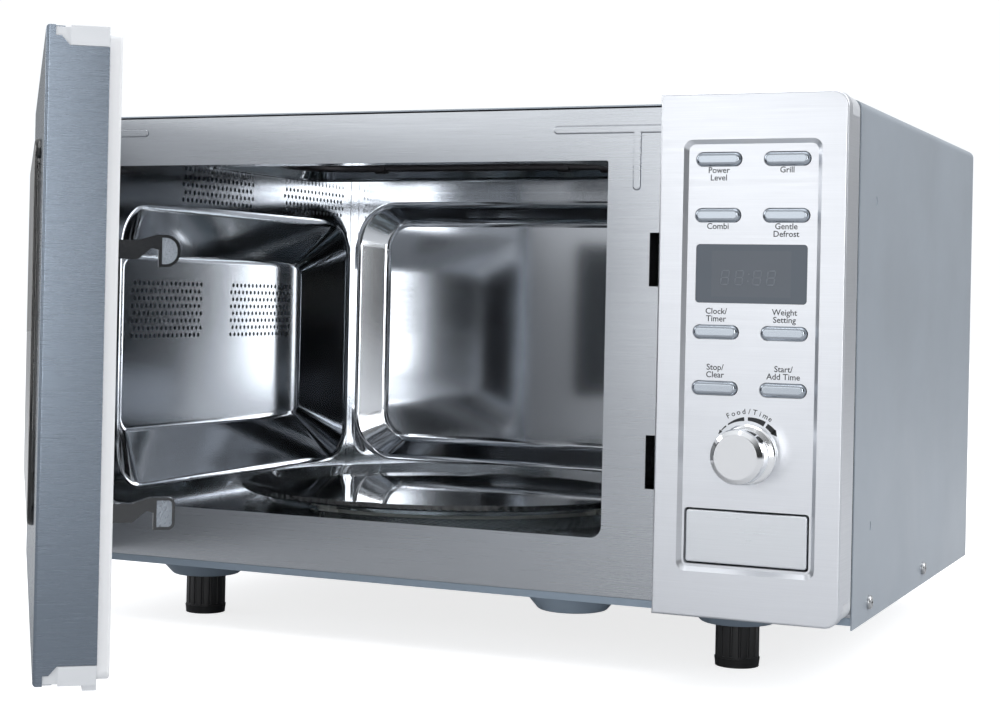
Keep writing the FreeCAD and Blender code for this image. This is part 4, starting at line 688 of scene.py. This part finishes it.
bmesh.ops.translate(bm, verts=bm.verts, vec=outward * paintedReflectionHookPads["thick"])
bmesh.ops.solidify(bm, geom=bm.faces[:], thickness=paintedReflectionHookPads["thick"])
bmesh.ops.recalc_face_normals(bm, faces=bm.faces)
finishPiece("paintedReflectionHookPads", bm, coatedSurface("paintedReflectionHookPad", paintedReflectionHookPads["look"]), "hooks", smooth=False)
print("hook pads made")


digits = {"height": 7.4 * mm, "width": 4.0 * mm, "thick": 0.75 * mm, "slant": 0.12, "deep": 0.04 * mm,
          "bury": 0.02 * mm, "below": 2 * mm, "gap": 0.5 * mm, "dot": 0.45 * mm, "dotPlace": -1.4 * mm,
          "places": (-14.2 * mm, -6.4 * mm, 3.4 * mm, 11.0 * mm)}


def segmentBar(bm, centre, length, upright):
    made = bmesh.ops.create_circle(bm, cap_ends=True, segments=6, radius=digits["thick"] / 2)
    for vert in made["verts"]:
        along, over = vert.co.x, vert.co.y
        along += math.copysign(length / 2 - digits["thick"] * 0.4, along)
        x, z = (over, along) if upright else (along, over)
        z += centre[1]
        vert.co = Vector((centre[0] + x + z * digits["slant"], 0.0, z))


bm = bmesh.new()
halfHigh = digits["height"] / 4
halfWide = digits["width"] / 2
for x in digits["places"]:
    for z in (-2 * halfHigh, 0.0, 2 * halfHigh):
        segmentBar(bm, (x, z), digits["width"] - digits["gap"], False)
    for z in (-halfHigh, halfHigh):
        for side in (-1, 1):
            segmentBar(bm, (x + side * halfWide, z), 2 * halfHigh - digits["gap"], True)
for z in (-halfHigh, halfHigh):
    made = bmesh.ops.create_circle(bm, cap_ends=True, segments=12, radius=digits["dot"])
    bmesh.ops.rotate(bm, verts=made["verts"], cent=(0, 0, 0), matrix=Matrix.Rotation(math.pi / 2, 3, "X"))
    bmesh.ops.translate(bm, verts=made["verts"], vec=(digits["dotPlace"] + z * digits["slant"], 0, z))
bm.normal_update()
bmesh.ops.solidify(bm, geom=bm.faces[:], thickness=digits["deep"])
bmesh.ops.translate(bm, verts=bm.verts, vec=(windowMiddle.x, windowLow.y - digits["bury"],
                                             windowMiddle.z - digits["below"]))
bmesh.ops.recalc_face_normals(bm, faces=bm.faces)
finishPiece("displayDigits", bm, segmentInk, "cabinet", smooth=False)
print("display made")


# stage, light and camera

floorLook = {"size": 6.0, "color": (0.50, 0.505, 0.515), "glow": 0.78}
bm = bmesh.new()
bmesh.ops.create_grid(bm, x_segments=2, y_segments=2, size=floorLook["size"])
floorMesh = bpy.data.meshes.new("floor")
bm.to_mesh(floorMesh)
bm.free()
floor = bpy.data.objects.new("floor", floorMesh)
scene.collection.objects.link(floor)
floorPaint, floorTree, floorShader, floorPlace = startMaterial("floorPaint", floorLook["color"], 0.0, 0.9)
floorShader.inputs["Emission Color"].default_value = (1.0, 1.0, 1.0, 1.0)
floorSeen = addNode(floorTree, "ShaderNodeLightPath", (-700, -400)).outputs["Is Camera Ray"]
floorTree.links.new(mathNode(floorTree, "MULTIPLY", (-400, -400), floorSeen, floorLook["glow"]),
                    floorShader.inputs["Emission Strength"])
floorMesh.materials.append(floorPaint)

lights = {
    "keyLight": {"at": (-0.75, -2.2, 0.52), "size": (1.5, 0.95), "power": 6.2},
    "stripLight": {"at": (0.84, -2.0, 0.50), "size": (0.56, 1.0), "power": 8.2},
    "sideLight": {"at": (2.0, 0.6, 1.4), "size": (1.6, 1.8), "power": 29.0},
    "topLight": {"at": (0.1, 0.0, 2.2), "size": (1.8, 1.4), "power": 18.0},
    "leftLight": {"at": (-1.8, -0.6, 0.7), "size": (0.9, 1.6), "power": 14.0},
}
target = Vector((0.0, -0.05, 0.16))
for name, light in lights.items():
    lamp = bpy.data.lights.new(name, "AREA")
    lamp.shape = "RECTANGLE"
    lamp.size, lamp.size_y = light["size"]
    lamp.energy = light["power"]
    holder = bpy.data.objects.new(name, lamp)
    scene.collection.objects.link(holder)
    holder.location = light["at"]
    holder.rotation_euler = (target - Vector(light["at"])).to_track_quat("-Z", "Y").to_euler()

world = bpy.data.worlds.new("studio")
scene.world = world
world.use_nodes = True
tree = world.node_tree
background = tree.nodes["Background"]
direction = addNode(tree, "ShaderNodeTexCoord", (-900, 0)).outputs["Generated"]
axes = addNode(tree, "ShaderNodeSeparateXYZ", (-700, 0))
tree.links.new(direction, axes.inputs["Vector"])
climb = rangeNode(tree, axes.outputs["Z"], 0.0, 0.9, 0.30, 0.95, (-500, 100))
aim = addNode(tree, "ShaderNodeVectorMath", (-700, -200), operation="DOT_PRODUCT")     # dark side of the studio
tree.links.new(direction, aim.inputs[0])
aim.inputs[1].default_value = (0.70, -0.71, 0.0)
shade = rangeNode(tree, aim.outputs["Value"], 0.60, 0.92, 1.0, 0.12, (-500, -150))
glow = mathNode(tree, "MULTIPLY", (-300, 0), climb, shade)
seen = addNode(tree, "ShaderNodeLightPath", (-500, -400)).outputs["Is Camera Ray"]
whole = addNode(tree, "ShaderNodeMix", (0, -100), data_type="FLOAT")
tree.links.new(seen, whole.inputs[0])
tree.links.new(glow, whole.inputs[2])
whole.inputs[3].default_value = 1.05
tree.links.new(whole.outputs[0], background.inputs["Strength"])
background.inputs["Color"].default_value = (0.96, 0.98, 1.0, 1.0)

cameraLook = {"at": (0.48291, -1.15417, 0.20724), "turn": (90.1612, -1.1973, 23.6742), "lens": 66.998,
              "shift": (-0.00693, -0.05912)}
cameraData = bpy.data.cameras.new("camera")
cameraData.sensor_width = 36.0
cameraData.lens = cameraLook["lens"]
cameraData.shift_x, cameraData.shift_y = cameraLook["shift"]
cameraData.clip_start = 0.01
camera = bpy.data.objects.new("camera", cameraData)
scene.collection.objects.link(camera)
camera.location = cameraLook["at"]
camera.rotation_euler = [math.radians(angle) for angle in cameraLook["turn"]]
scene.camera = camera
scene.view_settings.view_transform = "Standard"
print("stage, lights and camera set")
